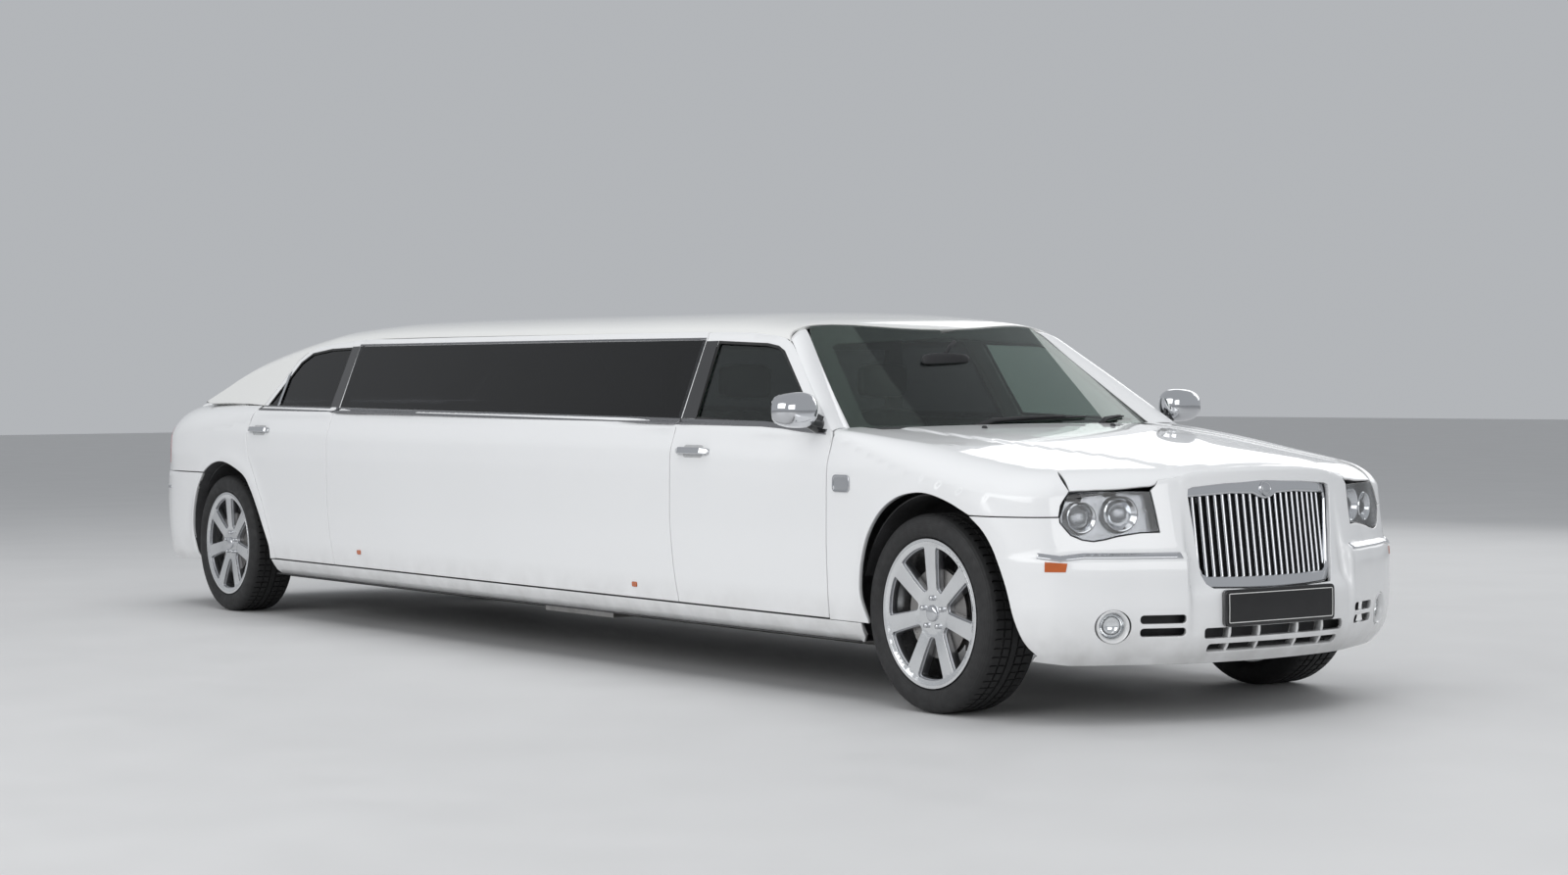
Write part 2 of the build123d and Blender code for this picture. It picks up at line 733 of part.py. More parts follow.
def make_rim(axle, side):
    """One road wheel on the side given by the sign of Y."""
    centre = side * track_half
    half = tyre_width / 2 - 14
    with BuildPart() as rim:
        with BuildSketch(Plane.XY):
            with BuildLine():
                Polyline((barrel_radius, -half), (lip_radius - 4, -half), (lip_radius - 4, -half + 8),
                         (bead_radius, -half + 14), (bead_radius, half - 14), (lip_radius, half - 6),
                         (lip_radius, half), (lip_radius - 8, half), (barrel_radius + 6, half - 26),
                         (barrel_radius, -half))
            make_face()
        revolve(axis=Axis.Y)
        with BuildSketch(Plane.XZ.offset(-62)):
            with PolarLocations(0, spoke_count, start_angle=90):
                Polygon((55, -30), (252, -38), (252, 38), (55, 30), align=None)
            Circle(78)
        extrude(amount=-32)
        with BuildSketch(Plane.XZ.offset(-94)):
            with PolarLocations(57, nut_count):
                RegularPolygon(11, 6)
            Circle(31)
        extrude(amount=-8)
        with BuildSketch(Plane.XZ.offset(62)):
            Circle(70)
        extrude(amount=-124)
        with BuildSketch(Plane.XZ.offset(66)):
            Circle(disc_radius)
        extrude(amount=-28)
    turned = rim.part if side > 0 else mirror(rim.part, about=Plane.XZ)
    return Location((axle, centre, tyre_radius)) * turned


def ring_form(profile):
    """A loft through polygons, each given by its corner radius and its place across the wheel."""
    with BuildPart() as form:
        for radius, across in profile:
            with BuildSketch(Plane.XZ.offset(across)):
                RegularPolygon(radius, tyre_flats, rotation=-90)
        loft(ruled=True)
    return form.part


def mirrored_profile(half_profile):
    """A profile carried on across the wheel's middle plane."""
    return half_profile + [(radius, -across) for radius, across in reversed(half_profile)]


# Tyres in flats: tread, shoulders and sidewalls outside, the bead seats inside
tyre_half = tyre_width / 2
with BuildPart() as tyre:
    add(ring_form(mirrored_profile([(tyre_radius - 52, tyre_half), (tyre_radius - 14, tyre_half - 12),
                                    (tyre_radius, tyre_half - 40)])))
    add(ring_form(mirrored_profile([(tyre_radius - 52, tyre_half), (lip_radius + 2, tyre_half - 30),
                                    (bead_radius + 2, tyre_half - 34)])), mode=Mode.SUBTRACT)

for corner, axle in (("front", front_axle), ("rear", rear_axle)):
    for side_name, side in (("right", -1), ("left", 1)):
        finish(make_rim(axle, side), f"rim_{corner}_{side_name}")
        placed_tyre = Location((axle, side * track_half, tyre_radius)) * tyre.part
        finish(placed_tyre, f"tyre_{corner}_{side_name}")

# Front knuckle with its caliper, turning about the kingpin
with BuildPart() as knuckle:
    add(block((ahead(-35), ahead(35)), (-712, -672), (215, 560)))
    add(block((ahead(-110), ahead(-20)), (-712, -672), (330, 400)))
    with BuildSketch(Plane.XZ.offset(672)):
        with Locations((front_axle, tyre_radius)):
            Circle(60)
    extrude(amount=48)
    add(block((ahead(-184), ahead(-110)), (-790, -690), (tyre_radius - 75, tyre_radius + 75)))
    add(wheelhouse(front_axle, -768, -728, disc_radius + 6), mode=Mode.SUBTRACT)
    with BuildSketch(Plane.XZ.offset(715)):
        with Locations((front_axle, tyre_radius)):
            Circle(25)
    extrude(amount=15)
finish_pair(knuckle.part, "knuckle")

# Front subframe with its lower arms, and the rear cradle with differential and drive shafts
with BuildPart() as front_subframe:
    add(block((ahead(-180), ahead(180)), (-400, 400), (205, 250)))
    add(both_sides(block((ahead(-30), ahead(30)), (-685, -380), (190, 213))))
finish(front_subframe.part, "front_subframe")

with BuildPart() as rear_axle_unit:
    add(block((behind(110), behind(-110)), (-130, 130), (270, 440)))
    add(block((behind(60), behind(-60)), (-560, 560), (235, 275)))
    with BuildSketch(Plane.XZ.offset(-660)):
        with Locations((rear_axle, tyre_radius)):
            Circle(32)
    extrude(amount=1320)
    add(both_sides(block((behind(70), behind(-70)), (-700, -655), (260, 470))))
finish(rear_axle_unit.part, "rear_axle")

# Powertrain: engine, gearbox and propshaft
with BuildPart() as powertrain:
    add(block((ahead(-330), ahead(400)), (-230, 230), (255, 760)))
    add(block((ahead(-580), ahead(-330)), (-150, 150), (258, 520)))
finish(powertrain.part, "engine")

with BuildPart() as propshaft:
    with BuildSketch(Plane.YZ.offset(behind(-111))):
        with Locations((0, 190)):
            Circle(32)
    extrude(amount=ahead(-640) - behind(-111))
finish(propshaft.part, "propshaft")

with BuildPart() as exhaust:
    for side in (-1, 1):
        with BuildSketch(Plane.YZ.offset(behind(860))):
            with Locations((side * 430, 185)):
                Circle(32)
        extrude(amount=ahead(-700) - behind(860))
    add(block((ahead(-3400), ahead(-2800)), (-520, -340), (150, 222)))
    add(block((ahead(-3400), ahead(-2800)), (340, 520), (150, 222)))
finish(exhaust.part, "exhaust")

with BuildPart() as fuel_tank:
    add(block((behind(-1250), behind(-620)), (50, 370), (150, 223)))
finish(fuel_tank.part, "fuel_tank")

# Driver's cabin
with BuildPart() as dashboard:
    with BuildSketch(Plane.XZ.offset(-735)):
        Polygon((ahead(-642), 620), (ahead(-642), 975), (ahead(-900), 985), (ahead(-1010), 930),
                (ahead(-1030), 760), (ahead(-960), 640), align=None)
    extrude(amount=1470)
finish(dashboard.part, "dashboard")

driver_y = -370.0
wheel_tilt = 25.0
with BuildPart() as steering_wheel:
    hub = Plane(origin=(ahead(-1215), driver_y, 865), x_dir=(0, 1, 0),
                z_dir=(-cos(radians(wheel_tilt)), 0, sin(radians(wheel_tilt))))
    with BuildSketch(hub):
        Circle(190)
        Circle(164, mode=Mode.SUBTRACT)
    extrude(amount=13, both=True)
    with BuildSketch(hub):
        Circle(52)
        with PolarLocations(0, 3, start_angle=-90):
            Polygon((40, -17), (170, -14), (170, 14), (40, 17), align=None)
    extrude(amount=9, both=True)
    with BuildSketch(hub.offset(-5)):
        Circle(32)
    extrude(amount=-230)
    add(dashboard.part, mode=Mode.SUBTRACT)
finish(steering_wheel.part, "steering_wheel")


def seat(x, y, cushion_half, low, depth, back_top, lean):
    """A cushion and a leaning backrest as one solid, facing forwards from its rear corner."""
    with BuildPart() as solid:
        with BuildSketch(Plane.XZ.offset(-y - cushion_half)):
            Polygon((x, low), (x, low + 240), (x - 40, low + 260), (x - depth + 20, low + 230),
                    (x - depth - lean, back_top), (x - depth - lean - 110, back_top), (x - depth - 120, low),
                    align=None)
        extrude(amount=2 * cushion_half)
    return solid.part


with BuildPart() as front_seats:
    for centre in (driver_y, -driver_y):
        add(seat(ahead(-1290), centre, 235, floor_low + floor_thick, 510, 1130, 110))
finish(front_seats.part, "front_seats")

partition_x = ahead(-2160)
with BuildPart() as partition:
    add(block((partition_x - 30, partition_x), (-760, 760), (floor_low + floor_thick + 1, 1000)))
    add(block((partition_x - 30, partition_x), (-640, 640), (1000, 1400)))
    add(block((partition_x - 60, partition_x + 60), (-560, 560), (1060, 1350)), mode=Mode.SUBTRACT)
    add(floor_pan.part, mode=Mode.SUBTRACT)
finish(partition.part, "partition")

with BuildPart() as rear_bench:
    add(seat(behind(-1060), 0, 640, floor_low + floor_thick, 440, 1100, 30))
    add(floor_pan.part, mode=Mode.SUBTRACT)
finish(rear_bench.part, "rear_bench")

with BuildPart() as side_bench:
    with BuildSketch(Plane.YZ.offset(behind(-1240))):
        Polygon((270, 265), (270, 520), (600, 500), (670, 980), (776, 980), (776, 265), align=None)
    extrude(amount=ahead(-2320) - behind(-1240))
finish(side_bench.part, "side_bench")

with BuildPart() as bar:
    add(block((behind(-1700), ahead(-2320)), (-776, -500), (265, 820)))
    add(block((behind(-1660), ahead(-2360)), (-600, -400), (600, 780)), mode=Mode.SUBTRACT)
finish(bar.part, "bar_cabinet")

# Door mirrors
with BuildPart() as mirror_unit:
    add(block((ahead(-760), ahead(-660)), (-1090, -925), (1030, 1150)))
    add(block((ahead(-730), ahead(-680)), (-960, -885), (1020, 1060)))
    fillet(mirror_unit.edges().group_by(Axis.Y)[0], 25)
    add(doors["door_front"], mode=Mode.SUBTRACT)
finish_pair(mirror_unit.part, "door_mirror")
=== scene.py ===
import math

import bmesh
import bpy
import numpy as np
from mathutils import Matrix, Vector
from mathutils.geometry import delaunay_2d_cdt


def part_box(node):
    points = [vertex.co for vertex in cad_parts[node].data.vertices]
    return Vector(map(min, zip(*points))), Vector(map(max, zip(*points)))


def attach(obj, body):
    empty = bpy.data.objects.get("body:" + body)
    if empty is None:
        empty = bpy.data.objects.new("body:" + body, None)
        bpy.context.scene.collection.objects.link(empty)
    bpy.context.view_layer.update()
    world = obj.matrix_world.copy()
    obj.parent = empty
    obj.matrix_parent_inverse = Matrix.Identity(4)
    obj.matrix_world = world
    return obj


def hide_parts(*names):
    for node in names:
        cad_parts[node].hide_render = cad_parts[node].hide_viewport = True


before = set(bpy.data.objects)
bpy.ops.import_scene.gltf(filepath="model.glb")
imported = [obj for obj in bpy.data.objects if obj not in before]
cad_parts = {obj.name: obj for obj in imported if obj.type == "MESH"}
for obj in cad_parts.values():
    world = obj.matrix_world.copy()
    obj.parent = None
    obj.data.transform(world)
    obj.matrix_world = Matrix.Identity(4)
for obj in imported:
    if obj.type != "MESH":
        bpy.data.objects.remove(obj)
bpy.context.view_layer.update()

# Stations come from the wheels. Outlines give distance ahead of the front axle, half width and height, in metres
front_low, front_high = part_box("tyre_front_right")
rear_low, rear_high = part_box("tyre_rear_right")
front_axle = (front_low[0] + front_high[0]) / 2
rear_axle = (rear_low[0] + rear_high[0]) / 2
track_half = -(front_low[1] + front_high[1]) / 2
wheel_height = (front_high[2] - front_low[2]) / 2
tail = rear_axle - front_axle

NOSE_REACH = 0.885
TAIL_REACH = 1.066
HALF_WIDTH = 0.941
SIDES = (("right", 1), ("left", -1))
MIDDLE_HEIGHT = 0.62


# Small numeric helpers


def smooth(rows):
    """A function through the rows' points that keeps every rise and fall between them."""
    xs, ys = np.array(rows, float).T
    step = np.diff(xs)
    slope = np.diff(ys) / step
    tangent = np.zeros_like(xs)
    both = slope[:-1] * slope[1:]
    total = slope[:-1] + slope[1:]
    tangent[1:-1] = np.where(both > 0, 2 * both / np.where(both > 0, total, 1), 0)
    tangent[0], tangent[-1] = slope[0], slope[-1]

    def value(x):
        x = np.asarray(x, float)
        i = np.clip(np.searchsorted(xs, x) - 1, 0, len(step) - 1)
        t = np.clip((x - xs[i]) / step[i], 0, 1)
        h = step[i]
        return ((1 + 2 * t) * (1 - t) ** 2 * ys[i] + t * (1 - t) ** 2 * h * tangent[i]
                + t * t * (3 - 2 * t) * ys[i + 1] + t * t * (t - 1) * h * tangent[i + 1])
    return value


def ease(x, low, high):
    """0 below low, 1 above high, with a soft change between."""
    t = np.clip((np.asarray(x, float) - low) / (high - low), 0, 1)
    return t * t * (3 - 2 * t)


def unit(vectors):
    return vectors / np.maximum(np.linalg.norm(vectors, axis=-1, keepdims=True), 1e-9)


def arrays(a, b):
    """Two numbers or arrays as arrays of one shape."""
    return np.broadcast_arrays(np.asarray(a, float), np.asarray(b, float))


def at_car(x, y, z):
    """Points from stations ahead of the front axle, places across the car and heights."""
    return np.stack([x + front_axle, y, z], -1)


def at_point(surface, a, b):
    """One point of a surface."""
    return surface(np.array([a]), np.array([b]))[0]


def rectangle(a, b, far_a, far_b):
    return [(a, b), (far_a, b), (far_a, far_b), (a, far_b)]


def spline(points, count=8, closed=False):
    """Points along a smooth curve through the given ones."""
    p = np.array(points, float)
    if closed:
        ring = np.vstack([p[-1], p, p[0], p[1]])
    else:
        ring = np.vstack([2 * p[0] - p[1], p, 2 * p[-1] - p[-2]])
    out = []
    for i in range(1, len(ring) - 2):
        a, b, c, d = ring[i - 1:i + 3]
        for t in np.linspace(0, 1, count, endpoint=False):
            out.append(0.5 * (2 * b + (c - a) * t + (2 * a - 5 * b + 4 * c - d) * t * t
                              + (3 * b - a - 3 * c + d) * t ** 3))
    if not closed:
        out.append(ring[-2])
    return [tuple(q) for q in out]


def dense(points, step):
    """A closed outline with no gap longer than the step."""
    out = []
    for a, b in zip(points, list(points[1:]) + [points[0]]):
        a, b = np.array(a, float), np.array(b, float)
        gap = np.linalg.norm(b - a)
        if gap < 1e-5:
            continue
        count = max(1, math.ceil(gap / step))
        out += [a + (b - a) * i / count for i in range(count)]
    return np.array(out)


def area(loop):
    x, y = loop.T
    return 0.5 * np.sum(x * np.roll(y, -1) - y * np.roll(x, -1))


def leftward(loop):
    """The unit vector to the left of a closed outline at each point, longer at corners."""
    ahead_edge = unit(np.roll(loop, -1, 0) - loop)
    back_edge = np.roll(ahead_edge, 1, 0)
    a = np.stack([-ahead_edge[:, 1], ahead_edge[:, 0]], 1)
    b = np.stack([-back_edge[:, 1], back_edge[:, 0]], 1)
    middle = unit(a + b)
    return middle / np.clip(np.sum(middle * a, 1, keepdims=True), 0.6, 1)


def inside(points, loop):
    """Which points lie within a closed outline."""
    x, y = points[:, :1], points[:, 1:]
    ax, ay = loop[:, 0], loop[:, 1]
    bx, by = np.roll(ax, -1), np.roll(ay, -1)
    crosses = (ay > y) != (by > y)
    at = ax + (y - ay) * (bx - ax) / np.where(by == ay, 1e-12, by - ay)
    return np.sum(crosses & (x < at), 1) % 2 == 1


def clearance(points, loop):
    """Distance from each point to the nearest edge of an outline."""
    a, b = loop, np.roll(loop, -1, 0)
    best = np.full(len(points), 1e9)
    for start, end in zip(a, b):
        run = end - start
        t = np.clip(((points - start) @ run) / max(run @ run, 1e-12), 0, 1)
        best = np.minimum(best, np.linalg.norm(points - start - t[:, None] * run, axis=1))
    return best


# Objects


def add_mesh(name, points, faces, normals=None):
    mesh = bpy.data.meshes.new(name)
    mesh.from_pydata([tuple(p) for p in points], [], faces)
    mesh.polygons.foreach_set("use_smooth", [True] * len(mesh.polygons))
    if normals is not None:
        mesh.normals_split_custom_set_from_vertices([tuple(n) for n in normals])
    piece = bpy.data.objects.new(name, mesh)
    bpy.context.scene.collection.objects.link(piece)
    return piece


def add_pair(name, points, faces, material, body, replaces=(), normals=None, slot=None):
    """A piece on the right and its mirror image on the left. Braces in a name stand for the side."""
    for side, sign in SIDES:
        flip = np.array([1, sign, 1])
        piece = add_mesh(f"{name}_{side}", points * flip, faces if sign > 0 else [f[::-1] for f in faces],
                         None if normals is None else normals * flip)
        dress(piece, material, body.format(side), [r.format(side) for r in replaces])


def dress(piece, material, body="body", replaces=()):
    """Give a piece its material, the body it rides on and the nodes it stands for."""
    piece.data.materials.append(material)
    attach(piece, body)
    if replaces:
        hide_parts(*replaces)
    return piece


def grid_faces(rows, columns, start=0, closed=True):
    """Faces between neighbouring rows of points. Each row is closed on itself or open."""
    faces = []
    for row in range(rows - 1):
        first = start + row * columns
        for i in range(columns if closed else columns - 1):
            j = (i + 1) % columns
            faces.append((first + i, first + j, first + columns + j, first + columns + i))
    return faces


def surface_normals(surface, a, b):
    """Normals of a surface function by finite differences, facing away from the middle of the car."""
    e = 0.002
    across = surface(a + e, b) - surface(a - e, b)
    up = surface(a, b + e) - surface(a, b - e)
    normals = unit(np.cross(across, up))
    points = surface(a, b)
    middle = np.stack([np.clip(points[..., 0], rear_axle, front_axle), 0 * points[..., 0],
                       np.full_like(points[..., 0], MIDDLE_HEIGHT)], -1)
    return normals * (1 if np.sum(normals * (points - middle)) > 0 else -1)


def raised(surface, height):
    """The same surface standing out by a height."""
    def lifted(a, b):
        return surface(a, b) + height * surface_normals(surface, a, b)
    return lifted


def panel_mesh(outline, surface, holes, step, depth, edge, grid):
    """Points, faces and normals of a panel with rounded edges, cut from a surface."""
    rims = []
    for i, points in enumerate([outline, *holes]):
        loop = dense(points, step)
        if (area(loop) > 0) == (i > 0):
            loop = loop[::-1]
        rims.append(loop)
    insets = [loop + leftward(loop) * edge for loop in rims]
    low, high = rims[0].min(0), rims[0].max(0)
    cell = grid or (step, step)
    columns = np.arange(low[0] + cell[0] / 2, high[0], cell[0])
    rows = np.arange(low[1] + cell[1] / 2, high[1], cell[1])
    mesh_grid = np.stack(np.meshgrid(columns, rows), -1).reshape(-1, 2)
    mesh_grid = mesh_grid[inside(mesh_grid, insets[0])]
    keep = clearance(mesh_grid, insets[0]) > 0.35 * min(cell)
    for hole in insets[1:]:
        keep &= ~inside(mesh_grid, hole) & (clearance(mesh_grid, hole) > 0.35 * min(cell))
    mesh_grid = mesh_grid[keep]
    flat = np.vstack([*insets, mesh_grid])
    edges, start = [], 0
    for loop in insets:
        edges += [(start + i, start + (i + 1) % len(loop)) for i in range(len(loop))]
        start += len(loop)
    coords, _, triangles, sources, _, _ = delaunay_2d_cdt( [Vector(p) for p in flat], edges, [], 0, 1e-6)
    back = [s[0] if s else -1 for s in sources]
    centres = np.array([(coords[t[0]] + coords[t[1]] + coords[t[2]]) / 3 for t in triangles])
    wanted = inside(centres, insets[0])
    for hole in insets[1:]:
        wanted &= ~inside(centres, hole)
    faces = [tuple(back[i] for i in t) for t, w in zip(triangles, wanted) if w]
    faces = [f for f in faces if min(f) >= 0 and len(set(f)) == 3]

    a, b = flat.T
    normals = surface_normals(surface, a, b)
    top = surface(a, b)
    corners = [top[np.array([f[k] for f in faces])] for k in range(3)]
    wound = np.cross(corners[1] - corners[0], corners[2] - corners[0])
    flip = np.sum(wound * normals[np.array([f[0] for f in faces])]) < 0
    count = len(flat)
    points = [top, top - normals * depth]
    shading = [normals, -normals]
    all_faces = [f if not flip else f[::-1] for f in faces]
    all_faces += [tuple(i + count for i in reversed(f)) for f in all_faces]
    base, start = 2 * count, 0
    for loop, inset in zip(rims, insets):
        n = len(loop)
        centre_normals = surface_normals(surface, *loop.T)
        out = surface(*loop.T)
        outward = unit(out - top[start:start + n])
        half = inset * 0.3 + loop * 0.7
        ring_1 = surface(*half.T) - centre_normals * edge * 0.3
        ring_2 = out - centre_normals * edge
        ring_3 = out - centre_normals * depth
        points += [ring_1, ring_2, ring_3]
        shading += [unit(centre_normals + outward), outward, unit(outward - centre_normals)]
        rows_of = [np.arange(start, start + n), np.arange(base, base + n), np.arange(base + n, base + 2 * n),
                   np.arange(base + 2 * n, base + 3 * n), np.arange(count + start, count + start + n)]
        for upper, lower in zip(rows_of, rows_of[1:]):
            for i in range(n):
                j = (i + 1) % n
                quad = (upper[i], lower[i], lower[j], upper[j])
                all_faces.append(quad if not flip else quad[::-1])
        base += 3 * n
        start += n
    return np.vstack(points), all_faces, np.vstack(shading)


def panel(name, outline, surface, material, body="body", holes=(), step=0.03, depth=0.02, edge=0.003,
          grid=None, replaces=(), mirrored=True):
    """A panel on the right and its mirror image on the left, or one panel across the middle."""
    points, faces, normals = panel_mesh(outline, surface, holes, step, depth, edge, grid)
    if mirrored:
        add_pair(name, points, faces, material, body, replaces, normals)
    else:
        dress(add_mesh(name, points, faces, normals), material, body, replaces)


# Body surface. Numbers are metres: heights above the ground, stations ahead of the front axle

nose_reach = smooth([(0.19, 0.79), (0.27, 0.858), (0.34, 0.878), (0.44, 0.884), (0.53, 0.882), (0.575, 0.876),
                     (0.588, 0.868), (0.604, 0.842), (0.63, 0.834), (0.74, 0.808), (0.86, 0.786),
                     (0.99, 0.774), (1.6, 0.77)])
shield_reach = smooth([(0.19, 0.79), (0.27, 0.856), (0.32, 0.870), (0.36, 0.870), (0.44, 0.868), (0.462, 0.862),
                       (0.485, 0.842), (0.53, 0.828), (0.667, 0.812), (0.80, 0.796), (0.90, 0.783),
                       (0.99, 0.774), (1.6, 0.77)])
tail_reach = smooth([(0.19, 0.93), (0.27, 1.0), (0.38, 1.04), (0.47, 1.058), (0.60, 1.064), (0.69, 1.056),
                     (0.725, 1.046), (0.742, 1.026), (0.76, 1.020), (0.86, 1.005), (0.99, 0.98), (1.2, 0.925),
                     (1.6, 0.9)])
flank = smooth([(0.19, 0.845), (0.24, 0.888), (0.285, 0.914), (0.305, 0.921), (0.318, 0.9225), (0.42, 0.930),
                (0.62, 0.9355), (0.78, 0.9345), (0.885, 0.9325), (0.918, 0.9305), (0.935, 0.927), (0.97, 0.9165),
                (1.04, 0.8955), (1.12, 0.878), (1.6, 0.80)])
crown_centre = smooth([(tail - 1.2, 1.060), (tail - 0.95, 1.098), (tail - 0.7, 1.122), (tail - 0.4, 1.130),
                       (tail, 1.132), (-0.7, 1.050), (-0.25, 1.018), (0.2, 0.974), (0.6, 0.928), (0.98, 0.862)])
crown_side = smooth([(tail - 1.2, 1.030), (tail - 0.95, 1.068), (tail - 0.7, 1.094), (tail - 0.4, 1.108),
                     (tail, 1.112), (-0.7, 1.034), (-0.25, 0.994), (0.2, 0.930), (0.6, 0.868), (0.98, 0.795)])
crease = smooth([(tail, 0.966), (-5.7, 0.964), (-2.0, 0.943), (-1.4, 0.930), (-0.6, 0.900), (-0.2, 0.880)])
CREASE_REST = 0.928
SHIELD_EDGE = (0.385, 0.415)

corner_anchors = [(-0.03, -0.36), (0, 0), (-0.03, 0.36), (-0.128, 0.61), (-0.205, 0.76), (-0.290, 0.862),
                  (-0.420, 0.921), (-0.64, 0.941), (-1.0, 0.941)]
tail_anchors = [(1.0, 0.941), (0.52, 0.941), (0.30, 0.915), (0.165, 0.848), (0.078, 0.68), (0.022, 0.38),
                (0, 0), (0.022, -0.38)]


def plan_outline():
    """The reference plan outline from the nose to the tail: points and outward directions by distance."""
    front = spline(corner_anchors, 40)[40:]
    rear = spline(tail_anchors, 40)[:-40]
    points = np.array([(NOSE_REACH + x, y) for x, y in front] + [(tail - TAIL_REACH + x, y) for x, y in rear])
    run = np.concatenate([[0], np.cumsum(np.linalg.norm(np.diff(points, axis=0), axis=1))])
    even = np.linspace(0, run[-1], 4000)
    xy = np.stack([np.interp(even, run, points[:, k]) for k in (0, 1)], 1)
    along = unit(np.gradient(xy, axis=0))
    out = np.stack([along[:, 1], -along[:, 0]], 1)
    for k in (0, 1):
        out[:, k] = np.convolve(np.pad(out[:, k], 12, mode="edge"), np.ones(25) / 25, mode="valid")
    out[0], out[-1] = (1, 0), (-1, 0)
    return even, xy, unit(out)


plan_run, plan_xy, plan_out = plan_outline()
PLAN_END = plan_run[-1]


def at_station(x):
    """Distance round the plan outline of a station on the flank."""
    return np.interp(-np.asarray(x, float), -plan_xy[:, 0], plan_run)


def at_front(y):
    """Distance round the plan outline of a half width on the nose."""
    half = len(plan_run) // 3
    return np.interp(y, plan_xy[:half, 1], plan_run[:half])


def at_rear(y):
    """Distance round the plan outline of a half width on the tail."""
    half = len(plan_run) * 2 // 3
    return np.interp(-np.asarray(y, float), -plan_xy[half:, 1], plan_run[half:])


# Shoulder roll: distance round the plan outline, width of the roll, height of the roll
roll_rows = [(0.0, 0.06, 0.012), (at_front(0.30), 0.07, 0.016), (at_front(0.46), 0.09, 0.045),
             (at_front(0.60), 0.11, 0.062), (at_front(0.80), 0.13, 0.075),
             (at_station(0.25), 0.14, 0.10), (at_station(-0.1), 0.12, 0.095),
             (at_station(-0.6), 0.05, 0.040), (at_station(-1.2), 0.05, 0.040),
             (at_station(tail + 0.6), 0.06, 0.06), (at_station(tail), 0.12, 0.12),
             (at_station(tail - 0.45), 0.17, 0.15), (at_rear(0.80), 0.24, 0.19),
             (at_rear(0.55), 0.15, 0.10), (at_rear(0.30), 0.10, 0.06), (PLAN_END, 0.10, 0.06)]
roll_width = smooth([(u, w) for u, w, h in roll_rows])
roll_height = smooth([(u, h) for u, w, h in roll_rows])


CROWN_HALF = 0.78


def crown(x, y):
    """Height of the hood, belt and deck surface."""
    centre, side = crown_centre(x), crown_side(x)
    return centre - (centre - side) * (np.abs(y) / CROWN_HALF) ** 2


ARCH_SHIFTS = ((0.0, 0.055), (tail, 0.04))
ARCH_RADIUS, ARCH_SWELL = 0.452, 0.0075


def arch_swell(x, z):
    """How far the skin stands out round each wheel arch."""
    out = np.zeros_like(x)
    for axle, shift in ARCH_SHIFTS:
        across = (x - axle - shift) / np.where(x > axle + shift, 1.06, 0.95)
        ring = np.hypot(across, z - wheel_height)
        out = np.maximum(out, ARCH_SWELL * np.exp(-((ring - ARCH_RADIUS) / 0.05) ** 2) * ease(z, 0.28, 0.42))
    return out


def body(u, t):
    """A point of the right-hand skin: distance round the plan outline, then height up the wall and on
    over the shoulder. Beyond either end of the outline it carries on along the left-hand side."""
    u, t = arrays(u, t)
    side = np.where((u < 0) | (u > PLAN_END), -1, 1)
    u = np.abs(u)
    u = np.where(u > PLAN_END, 2 * PLAN_END - u, u)
    cx, cy = (np.interp(u, plan_run, plan_xy[:, k]) for k in (0, 1))
    nx, ny = (np.interp(u, plan_run, plan_out[:, k]) for k in (0, 1))
    front = np.maximum(nx, 0) ** 1.5
    rear = np.maximum(-nx, 0) ** 1.5
    width, height = roll_width(u), roll_height(u)
    start = crown(cx - 0.05 * nx, cy - 0.05 * ny) - height
    z = np.minimum(t, start)
    shielded = 1 - ease(cy, *SHIELD_EDGE)
    nose = (1 - shielded) * nose_reach(z) + shielded * shield_reach(z)
    lift = (crease(cx) - CREASE_REST) * ease(z, 0.5, 0.88) * (1 - front) * (1 - rear)
    wall = flank(z - lift)
    inward = (front * (NOSE_REACH - nose) + rear * (TAIL_REACH - tail_reach(z))
              + (1 - front - rear) * (HALF_WIDTH - wall))
    length = 0.8 * (width + height)
    turn = np.clip((t - start) / length, 0, 1) * math.pi / 2
    beyond = np.maximum(t - start - length, 0)
    inward = inward + width * (1 - np.cos(turn)) + beyond
    x, y = cx - nx * inward, cy - ny * inward
    top = crown(x, y) - height * (1 - np.sin(turn))
    blend = ease(turn, 0, 0.5)
    z = np.where(t > start, (1 - blend) * (start + height * np.sin(turn)) + blend * top, t)
    y = y + arch_swell(x, z) * np.maximum(1 - front - rear, 0) * (turn <= 0)
    return at_car(x, -y * side, z)


def swept_half(u, y):
    """Where the skin, carried over the shoulder, comes in to a half width: the second coordinate there."""
    t = np.linspace(0.5, 1.9, 700)
    out = []
    for one in np.atleast_1d(u):
        reach = -body(np.full_like(t, one), t)[:, 1]
        low = np.argmax(reach < y)
        out.append(np.interp(-y, -reach[low - 1:low + 1], t[low - 1:low + 1]) if low else t[-1])
    return np.array(out)


def swept_line(stations, y):
    """Body coordinates along a half width, for distances round the plan outline."""
    return [(u, swept_half(u, y)[0]) for u in stations]


search_u, search_t = (c.ravel() for c in np.meshgrid(np.linspace(0, PLAN_END, 1500), np.linspace(0.18, 1.5, 260)))
search_points = body(search_u, search_t)


def nearest(x, y, z):
    """The body coordinates nearest to a measured point on the right."""
    gap = np.linalg.norm(search_points - np.array([x + front_axle, -y, z]), axis=1)
    best = int(np.argmin(gap))
    return float(search_u[best]), float(search_t[best])


def marks(*points):
    """The body coordinates nearest to several measured points."""
    return [nearest(*p) for p in points]


def flank_outline(points):
    """Side-view points, station and height, in body coordinates."""
    return [(at_station(x), z) for x, z in points]


# Glasshouse surface: station, then distance up the side and on over the roof

